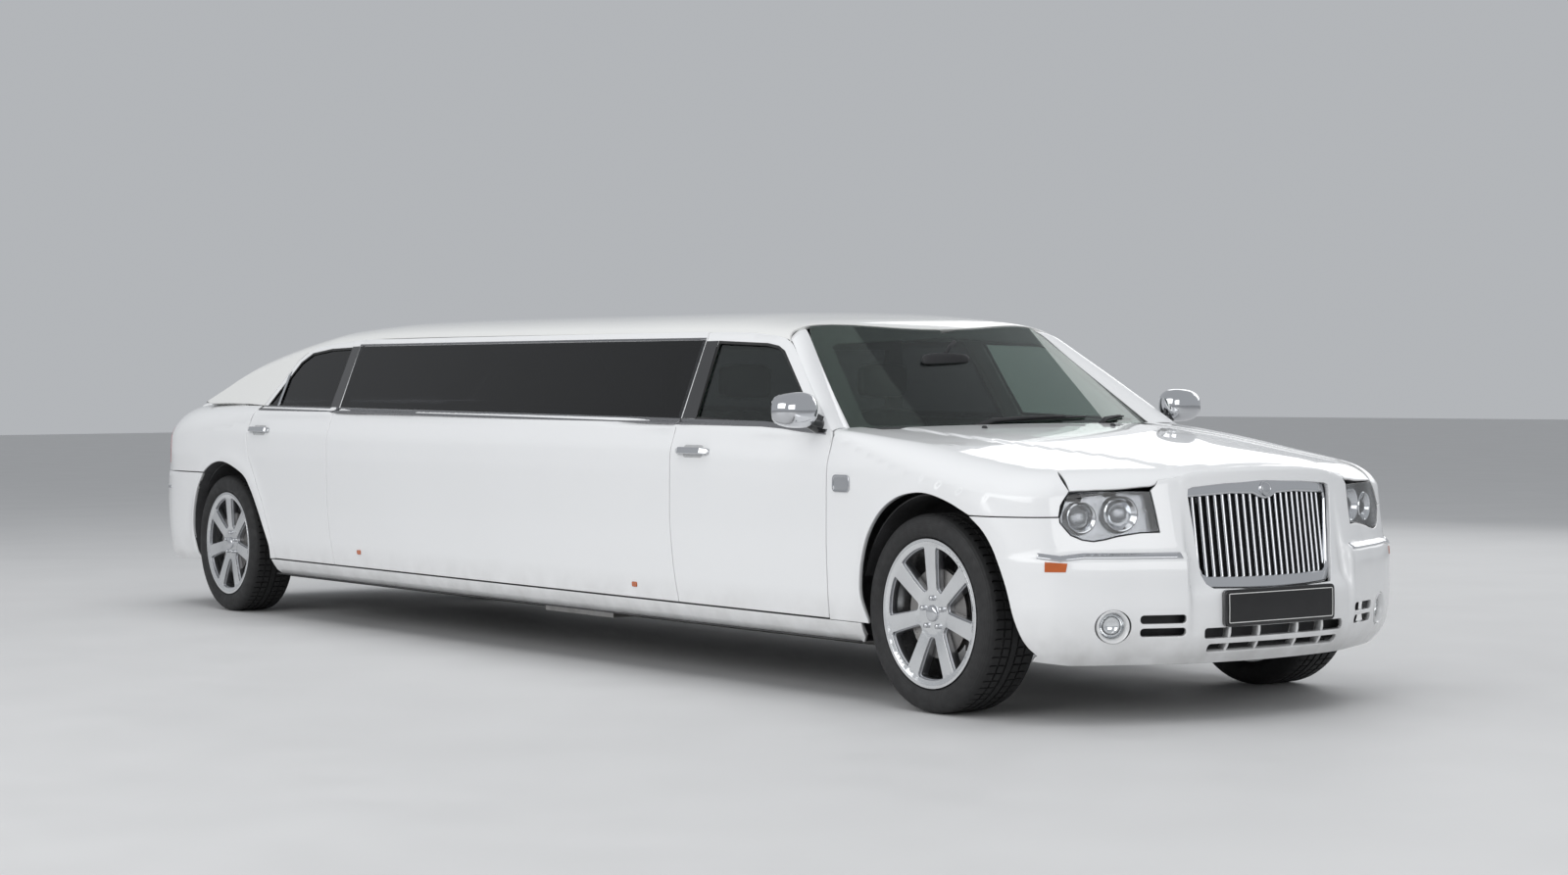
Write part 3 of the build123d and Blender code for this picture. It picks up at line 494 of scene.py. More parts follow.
roof_eave = smooth([(tail - 0.75, 1.08), (tail, 1.270), (tail + 0.3, 1.335), (tail + 0.6, 1.385), (tail + 0.9, 1.420),
                    (tail + 1.5, 1.438), (-2.6, 1.424), (-1.7, 1.414), (-1.25, 1.392), (-1.0, 1.342),
                    (-0.65, 1.225), (-0.3, 1.130)])
roof_centre = smooth([(tail - 0.75, 1.190), (tail, 1.388), (tail + 0.3, 1.440), (tail + 0.6, 1.486),
                      (tail + 0.9, 1.514), (tail + 1.5, 1.530), (-2.6, 1.518), (-1.7, 1.505), (-1.25, 1.468),
                      (-1.0, 1.394), (-0.65, 1.262), (-0.3, 1.162)])
LEAN = 0.52
ROOF_RUN = 0.72
EAVE_REACH = 0.088
GLASS_FOOT, GLASS_FOOT_HALF = 1.0, 0.905
SCREEN_FOOT, SCREEN_FOOT_HEIGHT, SCREEN_SLOPE = -0.512, 1.026, 1.443
REAR_FOOT, REAR_FOOT_HEIGHT, REAR_SLOPE = -6.61, 1.14, 2.72
DOOR_GAP_STATION = -1.69


def side_half(z):
    """Half width of the glasshouse side at a height."""
    return GLASS_FOOT_HALF - LEAN * (z - GLASS_FOOT)


def cabin(x, w):
    """A point of the glasshouse: station, then height up the right side and on over the roof."""
    x, w = arrays(x, w)
    eave, centre = roof_eave(x), roof_centre(x)
    full = 2 * (eave + ROOF_RUN)
    side = np.where(w > full / 2, -1, 1)
    w = np.minimum(w, full - w)
    t = np.clip((w - eave) / ROOF_RUN, 0, 1)
    half = side_half(eave)
    p1 = (half - EAVE_REACH * 0.46, eave + EAVE_REACH * 0.89)
    p2y = 0.42
    y = (1 - t) ** 3 * half + 3 * (1 - t) ** 2 * t * p1[0] + 3 * (1 - t) * t * t * p2y
    z = ((1 - t) ** 3 * eave + 3 * (1 - t) ** 2 * t * np.minimum(p1[1], centre) + 3 * (1 - t) * t * t * centre
         + t ** 3 * centre)
    below = w < eave
    y = np.where(below, side_half(w), y)
    z = np.where(below, w, z)
    return at_car(x, -y * side, z)


def screen_x(y, z):
    """Station of the windscreen surface."""
    return SCREEN_FOOT - (z - SCREEN_FOOT_HEIGHT) * SCREEN_SLOPE - y * y / 4


def backlight_x(y, z):
    """Station of the rear window surface."""
    return REAR_FOOT - (REAR_FOOT_HEIGHT - z) * REAR_SLOPE + y * y / 5


def screen(y, z):
    return at_car(screen_x(y, z), y, z)


def backlight(y, z):
    return at_car(backlight_x(y, z), y, z)


def meeting(w, other, low, high):
    """Stations where the glasshouse surface meets a screen surface, for distances up and over the roof."""
    stations = np.linspace(low, high, 400)
    out = []
    for one in np.atleast_1d(w):
        p = cabin(stations, np.full_like(stations, one))
        gap = p[:, 0] - front_axle - other(p[:, 1], p[:, 2])
        cross = np.where(np.diff(np.sign(gap)) != 0)[0]
        i = cross[-1] if other is screen_x else cross[0]
        out.append(np.interp(0, sorted(gap[i:i + 2]), stations[i:i + 2][np.argsort(gap[i:i + 2])]))
    return np.array(out)


def belt(x):
    """Height of the foot of the glasshouse."""
    return np.where(x > DOOR_GAP_STATION, 1.040 + (x - DOOR_GAP_STATION) * -0.012 - 0.022 * ease(x, -1.1, -0.62),
                    1.040 + 0.0105 * (DOOR_GAP_STATION - x))


def side_wall(x, z):
    """Side of the car by station and height: skin below the belt, glasshouse above it."""
    x, z = arrays(x, z)
    line = belt(x)
    low = body(at_station(x), np.minimum(z, line + 0.004))
    low[..., 2] = np.minimum(z, line + 0.02)
    high = cabin(x, z)
    k = ease(z, line + 0.001, line + 0.006)[..., None]
    out = low * (1 - k) + high * k
    out[..., 2] = z
    return out


# Materials


class Shader:
    """A Principled material under construction."""

    def __init__(self, name):
        self.material = bpy.data.materials.new(name)
        self.material.use_nodes = True
        self.tree = self.material.node_tree
        self.main = self.tree.nodes["Principled BSDF"]
        self.place = self.node("ShaderNodeTexCoord").outputs["Object"]

    def feed(self, inputs, values):
        """Set sockets, by name or number, to plain values or to other nodes' outputs."""
        for key, value in values.items():
            if isinstance(value, bpy.types.NodeSocket):
                self.tree.links.new(value, inputs[key])
            else:
                inputs[key].default_value = value

    def node(self, kind, inputs=None, **settings):
        made = self.tree.nodes.new(kind)
        for key, value in settings.items():
            setattr(made, key, value)
        self.feed(made.inputs, inputs or {})
        return made

    def set(self, **values):
        """Set inputs of the Principled node. An underscore stands for a space."""
        self.feed(self.main.inputs, {key.replace("_", " "): value for key, value in values.items()})

    def calculate(self, operation, *inputs):
        return self.node("ShaderNodeMath", dict(enumerate(inputs)), operation=operation).outputs[0]

    def noise(self, scale, detail=3.0, place=None):
        inputs = {"Scale": scale, "Detail": detail, "Vector": place or self.place}
        return self.node("ShaderNodeTexNoise", inputs).outputs["Fac"]

    def range(self, source, low, high, start=0.3, end=0.7):
        inputs = {"From Min": start, "From Max": end, "To Min": low, "To Max": high, "Value": source}
        return self.node("ShaderNodeMapRange", inputs).outputs["Result"]

    def mix(self, factor, *colours):
        first, second = ((*c, 1) if isinstance(c, tuple) else c for c in colours)
        return self.node("ShaderNodeMix", {"Factor": factor, 6: first, 7: second}, data_type="RGBA").outputs[2]

    def bump(self, height, strength, distance):
        made = self.node("ShaderNodeBump", {"Strength": strength, "Distance": distance, "Height": height})
        for previous in self.main.inputs["Normal"].links:
            self.feed(made.inputs, {"Normal": previous.from_socket})
        self.set(Normal=made.outputs["Normal"])

    def colour(self, base, spread=0.04, scale=5.0):
        darker = tuple(c * (1 - spread) for c in base)
        lighter = tuple(min(1, c * (1 + spread)) for c in base)
        self.set(Base_Color=self.mix(self.range(self.noise(scale), 0, 1), darker, lighter))

    def roughness(self, low, high, scale=12.0):
        self.set(Roughness=self.range(self.noise(scale), low, high))


def surface_finish(name, colour, rough, spread=0.05, scale=6.0, grain=None, **values):
    """A material with its colour and roughness varied by noise, and a grain as bump."""
    s = Shader(name)
    s.set(**values)
    s.colour(colour, spread, scale)
    s.roughness(*rough, scale=scale * 3)
    if grain:
        s.bump(s.noise(grain[0], 4), grain[1], grain[2])
    return s.material


def car_paint(name, colour):
    """Clear-coated paint that turns darker and greyer in patches towards the bottom of the car."""
    s = Shader(name)
    s.set(Coat_Weight=1.0, Coat_Roughness=0.02, Specular_IOR_Level=0.5)
    height = s.node("ShaderNodeSeparateXYZ", {0: s.place}).outputs[2]
    # In noise patches the colour is mixed up to half way towards a darker warm grey. The mix is strongest below 0.2 m
    # and gone above 0.42 m.
    low_darkening = s.calculate("MULTIPLY", s.range(height, 1, 0, 0.2, 0.42), s.range(s.noise(9, 6), 0.1, 0.5))
    shade = s.mix(s.range(s.noise(0.8), 0, 1), tuple(c * 0.985 for c in colour), colour)
    s.set(Base_Color=s.mix(low_darkening, shade, (0.36, 0.35, 0.33)))
    s.roughness(0.30, 0.36, 2.0)
    s.bump(s.noise(650, 2), 0.02, 0.0004)
    return s.material


def tinted_glass(name, colour):
    s = Shader(name)
    s.set(Transmission_Weight=1.0, IOR=1.32)
    s.colour(colour, 0.03, 1.5)
    s.roughness(0.0, 0.015, 3.0)
    return s.material


def brushed(name, colour, rough):
    s = Shader(name)
    s.set(Metallic=1.0)
    stretch = s.node("ShaderNodeMapping", {"Scale": (1, 1, 60), "Vector": s.place})
    lines = s.noise(40, 3, stretch.outputs["Vector"])
    s.colour(colour, 0.05, 8)
    s.set(Roughness=s.range(lines, *rough))
    s.bump(lines, 0.05, 0.0005)
    return s.material


def radius_from(s, height):
    """Distance from a wheel's axis, in a shader."""
    x, _, z = s.node("ShaderNodeSeparateXYZ", {0: s.place}).outputs
    from_middle = s.calculate("ABSOLUTE", s.calculate("SUBTRACT", x, (front_axle + rear_axle) / 2))
    near = s.calculate("SUBTRACT", from_middle, (front_axle - rear_axle) / 2)
    up = s.calculate("SUBTRACT", z, height)
    both = s.node("ShaderNodeCombineXYZ", {0: near, 2: up}).outputs[0]
    return s.node("ShaderNodeVectorMath", {0: both}, operation="LENGTH").outputs["Value"]


def rings(name, colour, rough, scale, distance, **values):
    """A turned surface with fine rings about the wheel's axis."""
    s = Shader(name)
    s.set(**values)
    wave = s.calculate("SINE", s.calculate("MULTIPLY", radius_from(s, wheel_height), scale))
    s.colour(colour, 0.10, 14)
    s.roughness(*rough, scale=30)
    s.bump(wave, 0.3, distance)
    s.bump(s.noise(500, 3), 0.15, 0.0004)
    return s.material


def leather_finish(name, colour):
    s = Shader(name)
    s.set(Sheen_Weight=0.15, Sheen_Roughness=0.4)
    s.colour(colour, 0.15, 3)
    s.roughness(0.38, 0.52, 8)
    cells = s.node("ShaderNodeTexVoronoi", {"Scale": 420, "Vector": s.place}, feature="DISTANCE_TO_EDGE")
    s.bump(cells.outputs["Distance"], 0.35, 0.0006)
    s.bump(s.noise(14, 3), 0.25, 0.006)
    return s.material


def wood_finish(name, colour):
    s = Shader(name)
    s.set(Coat_Weight=0.8, Coat_Roughness=0.06)
    squeeze = s.node("ShaderNodeMapping", {"Scale": (0.5, 3.0, 4.0), "Vector": s.place})
    wave = {"Scale": 6.0, "Distortion": 9.0, "Detail": 4.0, "Detail Scale": 1.2, "Vector": squeeze.outputs["Vector"]}
    grain = s.node("ShaderNodeTexWave", wave, wave_type="BANDS", bands_direction="Z").outputs["Fac"]
    s.set(Base_Color=s.mix(grain, tuple(c * 0.35 for c in colour), colour))
    s.roughness(0.3, 0.45, 20)
    s.bump(grain, 0.1, 0.0008)
    return s.material


def carpet_finish(name, colour):
    s = Shader(name)
    s.set(Sheen_Weight=0.3, Sheen_Roughness=0.6)
    s.colour(colour, 0.25, 60)
    s.roughness(0.9, 1.0, 40)
    s.bump(s.noise(900, 4), 0.8, 0.004)
    return s.material


WHITE = (0.86, 0.865, 0.87)
paint = car_paint("paint_white", WHITE)
roof_paint = car_paint("roof_cream", (0.83, 0.83, 0.81))
bumper_paint = car_paint("bumper_white", WHITE)
chrome = surface_finish("chrome", (0.66, 0.67, 0.69), (0.04, 0.09), 0.02, 4, Metallic=1.0)
satin_chrome = surface_finish("satin_chrome", (0.62, 0.63, 0.65), (0.18, 0.28), 0.03, 6, Metallic=1.0)
gloss_black = surface_finish("gloss_black", (0.012, 0.012, 0.013), (0.05, 0.10), 0.2, 4, Coat_Weight=0.5)
rubber_trim = surface_finish("rubber_trim", (0.018, 0.018, 0.018), (0.45, 0.6), 0.2, 9, (300, 0.3, 0.0008))
moulded_black = surface_finish("moulded_black", (0.026, 0.026, 0.028), (0.5, 0.65), 0.15, 7, (700, 0.35, 0.0008))
underbody_coat = surface_finish("underbody_coat", (0.045, 0.045, 0.047), (0.6, 0.85), 0.35, 8, (180, 0.7, 0.003))
cast_iron = surface_finish("cast_iron", (0.16, 0.155, 0.15), (0.5, 0.75), 0.25, 12, (260, 0.5, 0.002), Metallic=0.7)
steel_tube = surface_finish("steel_tube", (0.40, 0.39, 0.38), (0.28, 0.45), 0.15, 10, (150, 0.1, 0.0006), Metallic=1.0)
front_glass = tinted_glass("front_glass", (0.40, 0.48, 0.44))
privacy_glass = tinted_glass("privacy_glass", (0.030, 0.031, 0.034))
lamp_glass = tinted_glass("lamp_glass", (0.96, 0.97, 0.98))
alloy_face = brushed("alloy_face", (0.78, 0.79, 0.80), (0.16, 0.28))
alloy_paint = surface_finish("alloy_paint", (0.42, 0.43, 0.45), (0.28, 0.36), 0.04, 9, (900, 0.05, 0.0004),
                             Metallic=0.85, Coat_Weight=0.6)
brake_disc = rings("brake_disc", (0.33, 0.32, 0.31), (0.25, 0.4), 2600, 0.0006, Metallic=1.0)
tyre_rubber = rings("tyre_rubber", (0.016, 0.016, 0.0165), (0.55, 0.75), 900, 0.0009)
leather = leather_finish("leather_dark", (0.035, 0.034, 0.036))
pale_leather = leather_finish("leather_pale", (0.30, 0.28, 0.25))
bar_wood = wood_finish("bar_wood", (0.20, 0.085, 0.035))
carpet = carpet_finish("carpet", (0.035, 0.035, 0.04))
handle_shadow = surface_finish("handle_shadow", (0.50, 0.505, 0.51), (0.25, 0.32), 0.03, 6, Coat_Weight=1.0)
red_lens = surface_finish("red_lens", (0.42, 0.008, 0.010), (0.05, 0.12), 0.15, 20, Coat_Weight=1.0)
amber_lens = surface_finish("amber_lens", (0.50, 0.10, 0.008), (0.06, 0.14), 0.1, 20, Coat_Weight=1.0)
reflector = surface_finish("reflector", (0.86, 0.87, 0.88), (0.06, 0.14), 0.03, 12, Metallic=1.0)
lamp_bezel = surface_finish("lamp_bezel", (0.21, 0.215, 0.225), (0.16, 0.28), 0.10, 14, Metallic=1.0)
blank_plate = surface_finish("blank_plate", (0.78, 0.78, 0.76), (0.25, 0.35), 0.03, 15, (900, 0.1, 0.0003))
plate_black = surface_finish("plate_black", (0.015, 0.015, 0.016), (0.18, 0.26), 0.15, 20, (500, 0.08, 0.0003))
belt_metal = surface_finish("belt_metal", (0.30, 0.30, 0.31), (0.20, 0.30), 0.04, 6, Metallic=1.0)


# Body panels


def on_end(y, z):
    """Body coordinates on the nose at a half width and height, also on the rolled edge."""
    u = np.linspace(0, at_station(0.1), 500)
    t = np.linspace(z - 0.03, z + 0.16, 70)
    grid_u, grid_t = np.meshgrid(u, t)
    points = body(grid_u.ravel(), grid_t.ravel()).reshape(len(t), len(u), 3)
    found_u = np.array([np.interp(y, np.maximum.accumulate(-row[:, 1]), u) for row in points])
    heights = np.array([np.interp(y, np.maximum.accumulate(-row[:, 1]), row[:, 2]) for row in points])
    at = float(np.interp(z, np.maximum.accumulate(heights), t))
    return float(np.interp(at, t, found_u)), at


def nose(points):
    """Front-view points, half width and height, in body coordinates."""
    return [on_end(y, z) for y, z in points]


def both_halves(right, middle=0.0):
    """A right-hand half outline and its mirror image, as one outline about a middle coordinate."""
    left = [(2 * middle - a, b) for a, b in reversed(right)]
    return [*right, *[p for p in left if abs(p[0] - middle) > 1e-4]]


def band(line, height):
    """A line and the same line raised, as one outline."""
    return [*line, *[(a, b + height) for a, b in reversed(line)]]


GAP = 0.002
DOOR_FRONT_STATION = -0.597
BUMPER_SHUT, QUARTER_SHUT = 0.7365, 0.7415
arch_front = [(-0.349, 0.306), (-0.385, 0.400), (-0.388, 0.468), (-0.372, 0.552), (-0.334, 0.643), (-0.264, 0.724),
              (-0.173, 0.776), (-0.08, 0.799), (0.024, 0.802), (0.145, 0.776), (0.266, 0.7315)]
arch_front_low = [(0.266, 0.7275), (0.340, 0.675), (0.397, 0.598), (0.446, 0.485), (0.478, 0.372),
                  (0.517, 0.285), (0.552, 0.245)]

FENDER_EDGE = 0.7245
hood_gap = [at_station(x) if x < -0.1 else nearest(x, FENDER_EDGE, crown(x, 0.72))[0]
            for x in np.linspace(0.50, -0.55, 12)]
fender_outline = (flank_outline(spline(arch_front, 5)) + [on_end(0.7985, 0.7325)]
                  + marks((0.57, 0.778, 0.766), (0.600, 0.757, 0.824)) + swept_line(hood_gap, FENDER_EDGE)
                  + marks((-0.64, 0.735, 1.03), (-0.645, 0.80, 1.03), (-0.613, 0.88, 1.02))
                  + flank_outline([(DOOR_FRONT_STATION + GAP, 1.010), (DOOR_FRONT_STATION + GAP, 0.306)]))
panel("front_fender", fender_outline, body, paint, step=0.02, depth=0.016, replaces=["front_fender_{}"])

front_door_line = [(DOOR_FRONT_STATION - GAP, 0.311), (DOOR_FRONT_STATION - GAP, 0.90), (-0.602, 1.000),
                   (-0.612, 1.019), (-0.85, 1.187), (-1.117, 1.363), (-1.175, 1.384), (-1.247, 1.3965), (-1.42, 1.411),
                   (-1.60, 1.4165), (-1.752, 1.4175), (-1.744, 1.380), (-1.683, 1.052), (-1.687, 0.90), (-1.687, 0.65),
                   (-1.666, 0.45), (-1.640, 0.311)]
front_pane = [(-0.715, 1.036), (-1.148, 1.333), (-1.205, 1.354), (-1.290, 1.366), (-1.655, 1.381), (-1.590, 1.060)]

rear_door_line = [(-4.792, 0.311), (-4.826, 0.45), (-4.850, 0.65), (-4.856, 0.929), (-4.852, 1.085),
                  (-4.923, 1.439), (-5.196, 1.428), (-5.400, 1.408), (-5.492, 1.391), (-5.585, 1.333),
                  (-5.745, 1.105), (-5.800, 0.985), (-5.800, 0.92), (-5.775, 0.83), (-5.700, 0.742),
                  (-5.600, 0.600), (-5.528, 0.450), (-5.475, 0.311)]
rear_pane = [(-4.955, 1.096), (-5.018, 1.400), (-5.250, 1.396), (-5.450, 1.376), (-5.540, 1.330), (-5.700, 1.104)]
for label, line, pane in (("front", front_door_line, front_pane), ("rear", rear_door_line, rear_pane)):
    panel("door_skin_" + label, line, side_wall, paint, label + "_door_{}", holes=[pane], step=0.025,
          replaces=["door_" + label + "_{}"])

stretch_line = [(-1.644, 0.311), (-1.670, 0.45), (-1.691, 0.65), (-1.691, 0.90), (-1.687, 1.052), (-1.748, 1.380),
                (-1.757, 1.420), (-2.6, 1.426), (-3.9, 1.435), (-4.919, 1.439), (-4.848, 1.085), (-4.852, 0.929),
                (-4.846, 0.65), (-4.822, 0.45), (-4.788, 0.311)]
stretch_pane = [(-1.716, 1.066), (-1.776, 1.382), (-4.912, 1.400), (-4.843, 1.098)]
panel("stretch_skin", stretch_line, side_wall, paint, holes=[stretch_pane], replaces=["side_panel_{}"])


def rear(points):
    """Points given from the rear axle, as stations from the front axle."""
    return [(tail + p[0], *p[1:]) for p in points]


arch_rear = rear([(0.556, 0.306), (0.552, 0.385), (0.496, 0.485), (0.423, 0.585), (0.351, 0.669), (0.278, 0.731),
                  (0.145, 0.776), (0.024, 0.801), (-0.08, 0.799), (-0.173, 0.776), (-0.250, 0.7415)])
arch_rear_low = rear([(-0.253, 0.7365), (-0.334, 0.643), (-0.372, 0.552), (-0.388, 0.468), (-0.385, 0.400),
                      (-0.365, 0.300), (-0.35, 0.262)])
QUARTER_EDGE, LID_EDGE = 0.6395, 0.6365
deck_gap = [nearest(x, QUARTER_EDGE, 1.10)[0] for x in np.linspace(tail - 0.80, tail - 0.53, 5)]
quarter_outline = (flank_outline(spline(arch_rear, 5))
                   + [(nearest(tail - 0.62, 0.92, QUARTER_SHUT)[0], QUARTER_SHUT), (at_rear(0.64), QUARTER_SHUT),
                      (at_rear(QUARTER_EDGE), 0.764)]
                   + marks((tail - 0.93, 0.700, 0.770), (tail - 0.77, 0.880, 0.776), (tail - 0.745, 0.875, 0.90),
                           (tail - 0.78, 0.800, 1.015), (tail - 0.88, 0.66, 1.035))
                   + swept_line(deck_gap, QUARTER_EDGE)
                   + marks((tail - 0.40, 0.70, 1.11), (tail - 0.10, 0.80, 1.115), (tail + 0.15, 0.845, 1.112),
                           (-5.752, 0.86, 1.100))
                   + flank_outline([(x - 0.004, z) for x, z in rear_door_line[11:]]))
panel("quarter_skin", quarter_outline, body, paint, step=0.02, depth=0.016, replaces=["quarter_panel_{}"])

sill_line = ([(-0.400, 0.304), (-0.405, 0.250), (-0.43, 0.228)]
             + rear([(0.62, 0.228), (0.585, 0.250), (0.566, 0.304)]))
panel("sill_skin", flank_outline(sill_line), body, paint, depth=0.016, grid=(0.05, 0.010), replaces=["sills"])


def flat_under(x, y):
    """A level surface just above the foot of the sills."""
    x, y = arrays(x, y)
    return at_car(x, y, 0.2295 + 0 * x)


panel("sill_floor", [(-0.44, -0.72), (-0.44, -0.905), (tail + 0.60, -0.905), (tail + 0.60, -0.72)], flat_under,
      underbody_coat, step=0.15, depth=0.004, edge=0.001)


# Front bumper with the grille shield, rear bumper and trunk lid

lamp_rim = [(0.797, 0.729), (0.797, 0.712), (0.768, 0.667), (0.735, 0.650), (0.700, 0.644), (0.660, 0.650),
            (0.620, 0.660), (0.540, 0.672), (0.474, 0.673), (0.480, 0.760), (0.487, 0.820)]
hood_lip = [(0.470, 0.836), (0.456, 0.855), (0.36, 0.872), (0.268, 0.885), (0.13, 0.896)]
front_bumper_half = ([(0.0, 0.203), (at_front(0.80), 0.208), (at_station(0.52), 0.222)]
                     + flank_outline(spline(arch_front_low, 4)[::-1]) + nose(lamp_rim + hood_lip)
                     + [(0.0, on_end(0.0, 0.900)[1])])
grille_half = [(0.0, 0.466), (0.16, 0.469), (0.295, 0.474), (0.318, 0.488), (0.335, 0.520), (0.372, 0.800),
               (0.368, 0.822), (0.345, 0.828), (0.20, 0.838), (0.0, 0.843)]


def polar(radius, angle):
    return radius * math.cos(angle), radius * math.sin(angle)


def circle(y, z, radius, count=28):
    return [(y + dy, z + dz) for dy, dz in (polar(radius, 2 * math.pi * i / count) for i in range(count))]


def slot_outline(y, z, half, tall, radius=0.012):
    """A slot with rounded ends."""
    corners = [(y + half, z - tall, -90), (y + half, z + tall, 0), (y - half, z + tall, 90), (y - half, z - tall, 180)]
    out = []
    for cy, cz, start in corners:
        ox = cy - math.copysign(radius, cy - y)
        oz = cz - math.copysign(radius, cz - z)
        for i in range(5):
            angle = math.radians(start + i * 22.5)
            out.append((ox + radius * math.cos(angle), oz + radius * math.sin(angle)))
    return out


def flat_front(points):
    """Front-view points straight to body coordinates, where the nose is nearly square to the road."""
    return [(math.copysign(at_front(abs(y)), y), z) for y, z in points]


fog_at = (0.667, 0.349)
bumper_holes = [flat_front(both_halves(grille_half))]
for sign in (1, -1):
    bumper_holes.append([(sign * u, t) for u, t in flat_front(circle(*fog_at, 0.060))])
    for height in (0.372, 0.326):
        bumper_holes.append([(sign * u, t) for u, t in flat_front(slot_outline(0.500, height, 0.078, 0.015))])
bumper_holes.append(flat_front(slot_outline(0.0, 0.316, 0.345, 0.019)))
bumper_holes.append(flat_front(slot_outline(0.0, 0.262, 0.325, 0.015)))
panel("front_bumper_skin", both_halves(front_bumper_half), body, bumper_paint, holes=bumper_holes, step=0.018,
      depth=0.016, replaces=["front_bumper"], mirrored=False)

rear_bumper_half = ([(PLAN_END, 0.232), (at_rear(0.60), 0.236), (at_rear(0.88), 0.244)]
                    + flank_outline(spline(arch_rear_low, 4)[::-1])
                    + [(nearest(tail - 0.62, 0.92, BUMPER_SHUT)[0], BUMPER_SHUT), (at_rear(0.60), BUMPER_SHUT),
                       (PLAN_END, BUMPER_SHUT)])
panel("rear_bumper_skin", both_halves(rear_bumper_half, PLAN_END), body, bumper_paint, step=0.022, depth=0.016,
      replaces=["rear_bumper"], mirrored=False)

lid_gap = [nearest(x, LID_EDGE, 1.10)[0] for x in np.linspace(tail - 0.545, tail - 0.80, 5)]
lid_half = swept_line(lid_gap, LID_EDGE) + [(at_rear(LID_EDGE), z) for z in (0.98, 0.90, 0.80, 0.765)]
lid_half += [(at_rear(0.62), 0.758), (PLAN_END, 0.758)]
crest = nearest(tail - 0.545, 0.0, 1.13)
panel("trunk_lid_skin", both_halves([(PLAN_END, crest[1])] + lid_half, PLAN_END), body, paint, "trunk_lid", step=0.025,
      depth=0.016, replaces=["trunk_lid"], mirrored=False)


# Hood, as a plan-view surface that rolls over at its front edge

hood_edge_u = np.linspace(0, at_station(0.25), 500)
hood_edge = body(hood_edge_u, crown(np.interp(hood_edge_u, plan_run, plan_xy[:, 0]),
                                    np.interp(hood_edge_u, plan_run, plan_xy[:, 1])) - roll_height(hood_edge_u))


HOOD_RISE = 0.006


def hood_surface(x, y):
    """Height of the hood over station and half width, with the two creases towards the grille."""
    x, y = arrays(x, y)
    reach = np.abs(y)
    edge_y = np.maximum.accumulate(-hood_edge[:, 1])
    edge_x = np.interp(reach, edge_y, hood_edge[:, 0] - front_axle)
    u = np.interp(reach, edge_y, hood_edge_u)
    nx = np.interp(u, plan_run, plan_out[:, 0])
    width, height = roll_width(u), roll_height(u)
    inward = np.clip((edge_x - x) * nx / width, 0, 1)
    z = crown(x, y) - height * (1 - np.sqrt(np.clip(1 - (1 - inward) ** 2, 0, 1)))
    crease_at = 0.60 - 0.235 * ease(x, -0.6, 0.8)
    swell = HOOD_RISE * (1 - ease(reach, crease_at - 0.012, crease_at + 0.02))
    return at_car(x, y, z + swell * ease(inward, 0.6, 1.0) - HOOD_RISE)


hood_half_line = [(-0.500, 0.0), (-0.502, -0.30), (-0.540, -0.60), (-0.573, -0.7205), (0.50, -0.7205),
                  (0.553, -0.7380)]
hood_front = []
for y, z in ([(0.752, 0.8215), (0.700, 0.8215), (0.640, 0.8205), (0.560, 0.8205), (0.490, 0.8205)] + hood_lip):
    u, t = on_end(y, z + 0.003)
    hood_front.append((at_point(body, u, t)[0] - front_axle, -y))
hood_front.append((at_point(body, 0.0, on_end(0.0, 0.903)[1])[0] - front_axle, 0.0))
hood_half = hood_half_line + hood_front
hood_outline = hood_half + [(x, -y) for x, y in hood_half[::-1][1:-1]]
panel("hood_skin", hood_outline, hood_surface, paint, "hood", step=0.022, depth=0.016, replaces=["hood"],
      mirrored=False)


# Roof with the rear posts, and the windscreen posts


def roof_front(w):
    return meeting(w, screen_x, -1.35, -0.9)


def roof_rear(w):
    return meeting(w, backlight_x, tail - 0.6, tail + 0.75)


front_w = np.linspace(1.372, float(roof_eave(-1.1)) + ROOF_RUN, 14)
front_edge = list(zip(roof_front(front_w), front_w))
roof_half = [(-1.119, 1.3665), (-1.175, 1.388), (-1.247, 1.4005), (-1.42, 1.415), (-1.60, 1.4205), (-1.757, 1.4215),
             (-2.6, 1.430), (-3.9, 1.439), (-4.921, 1.4435), (-5.196, 1.432), (-5.403, 1.412), (-5.497, 1.394),
             (-5.590, 1.335), (-5.752, 1.103), (tail + 0.15, 1.112), (tail - 0.10, 1.116), (tail - 0.35, 1.113)]
rear_w = np.linspace(1.125, float(roof_eave(tail + 0.2)) + ROOF_RUN, 22)
rear_edge = list(zip(roof_rear(rear_w), rear_w))


def scaled_cabin(x, v):
    """The glasshouse with its second coordinate running 0 to 2, from the foot over the middle to the other foot."""
    x, v = arrays(x, v)
    full = roof_eave(x) + ROOF_RUN
    up = GLASS_FOOT + np.where(v <= 1, v, 2 - v) * (full - GLASS_FOOT)
    return cabin(x, np.where(v <= 1, up, 2 * full - up))


def to_share(points):
    return [(x, (w - GLASS_FOOT) / (roof_eave(x) + ROOF_RUN - GLASS_FOOT)) for x, w in points]


roof_right = to_share(rear_edge[::-1]) + to_share(roof_half[::-1]) + to_share(front_edge)
roof_outline = roof_right + [(x, 2 - v) for x, v in reversed(roof_right) if v < 0.999]
panel("roof_skin", roof_outline, raised(scaled_cabin, -0.0004), roof_paint, depth=0.018, replaces=["roof"],
      mirrored=False)


def post_surface(inner, outer, swell):
    """A ribbon surface between two edge curves, bowed outwards."""
    inner_points, outer_points = np.array(spline(inner, 20)), np.array(spline(outer, 20))

    def surface(s, v):
        s, v = arrays(s, v)
        rows = [np.stack([np.interp(s, np.linspace(0, 1, len(p)), p[:, k]) for k in range(3)], -1)
                for p in (inner_points, outer_points)]
        point = rows[0] * (1 - v)[..., None] + rows[1] * v[..., None]
        out = np.array([0.5, -0.6, 0.62]) * (swell * 4 * v * (1 - v))[..., None]
        return point * np.array([1, -1, 1]) + out + np.array([front_axle, 0, 0])
    return surface


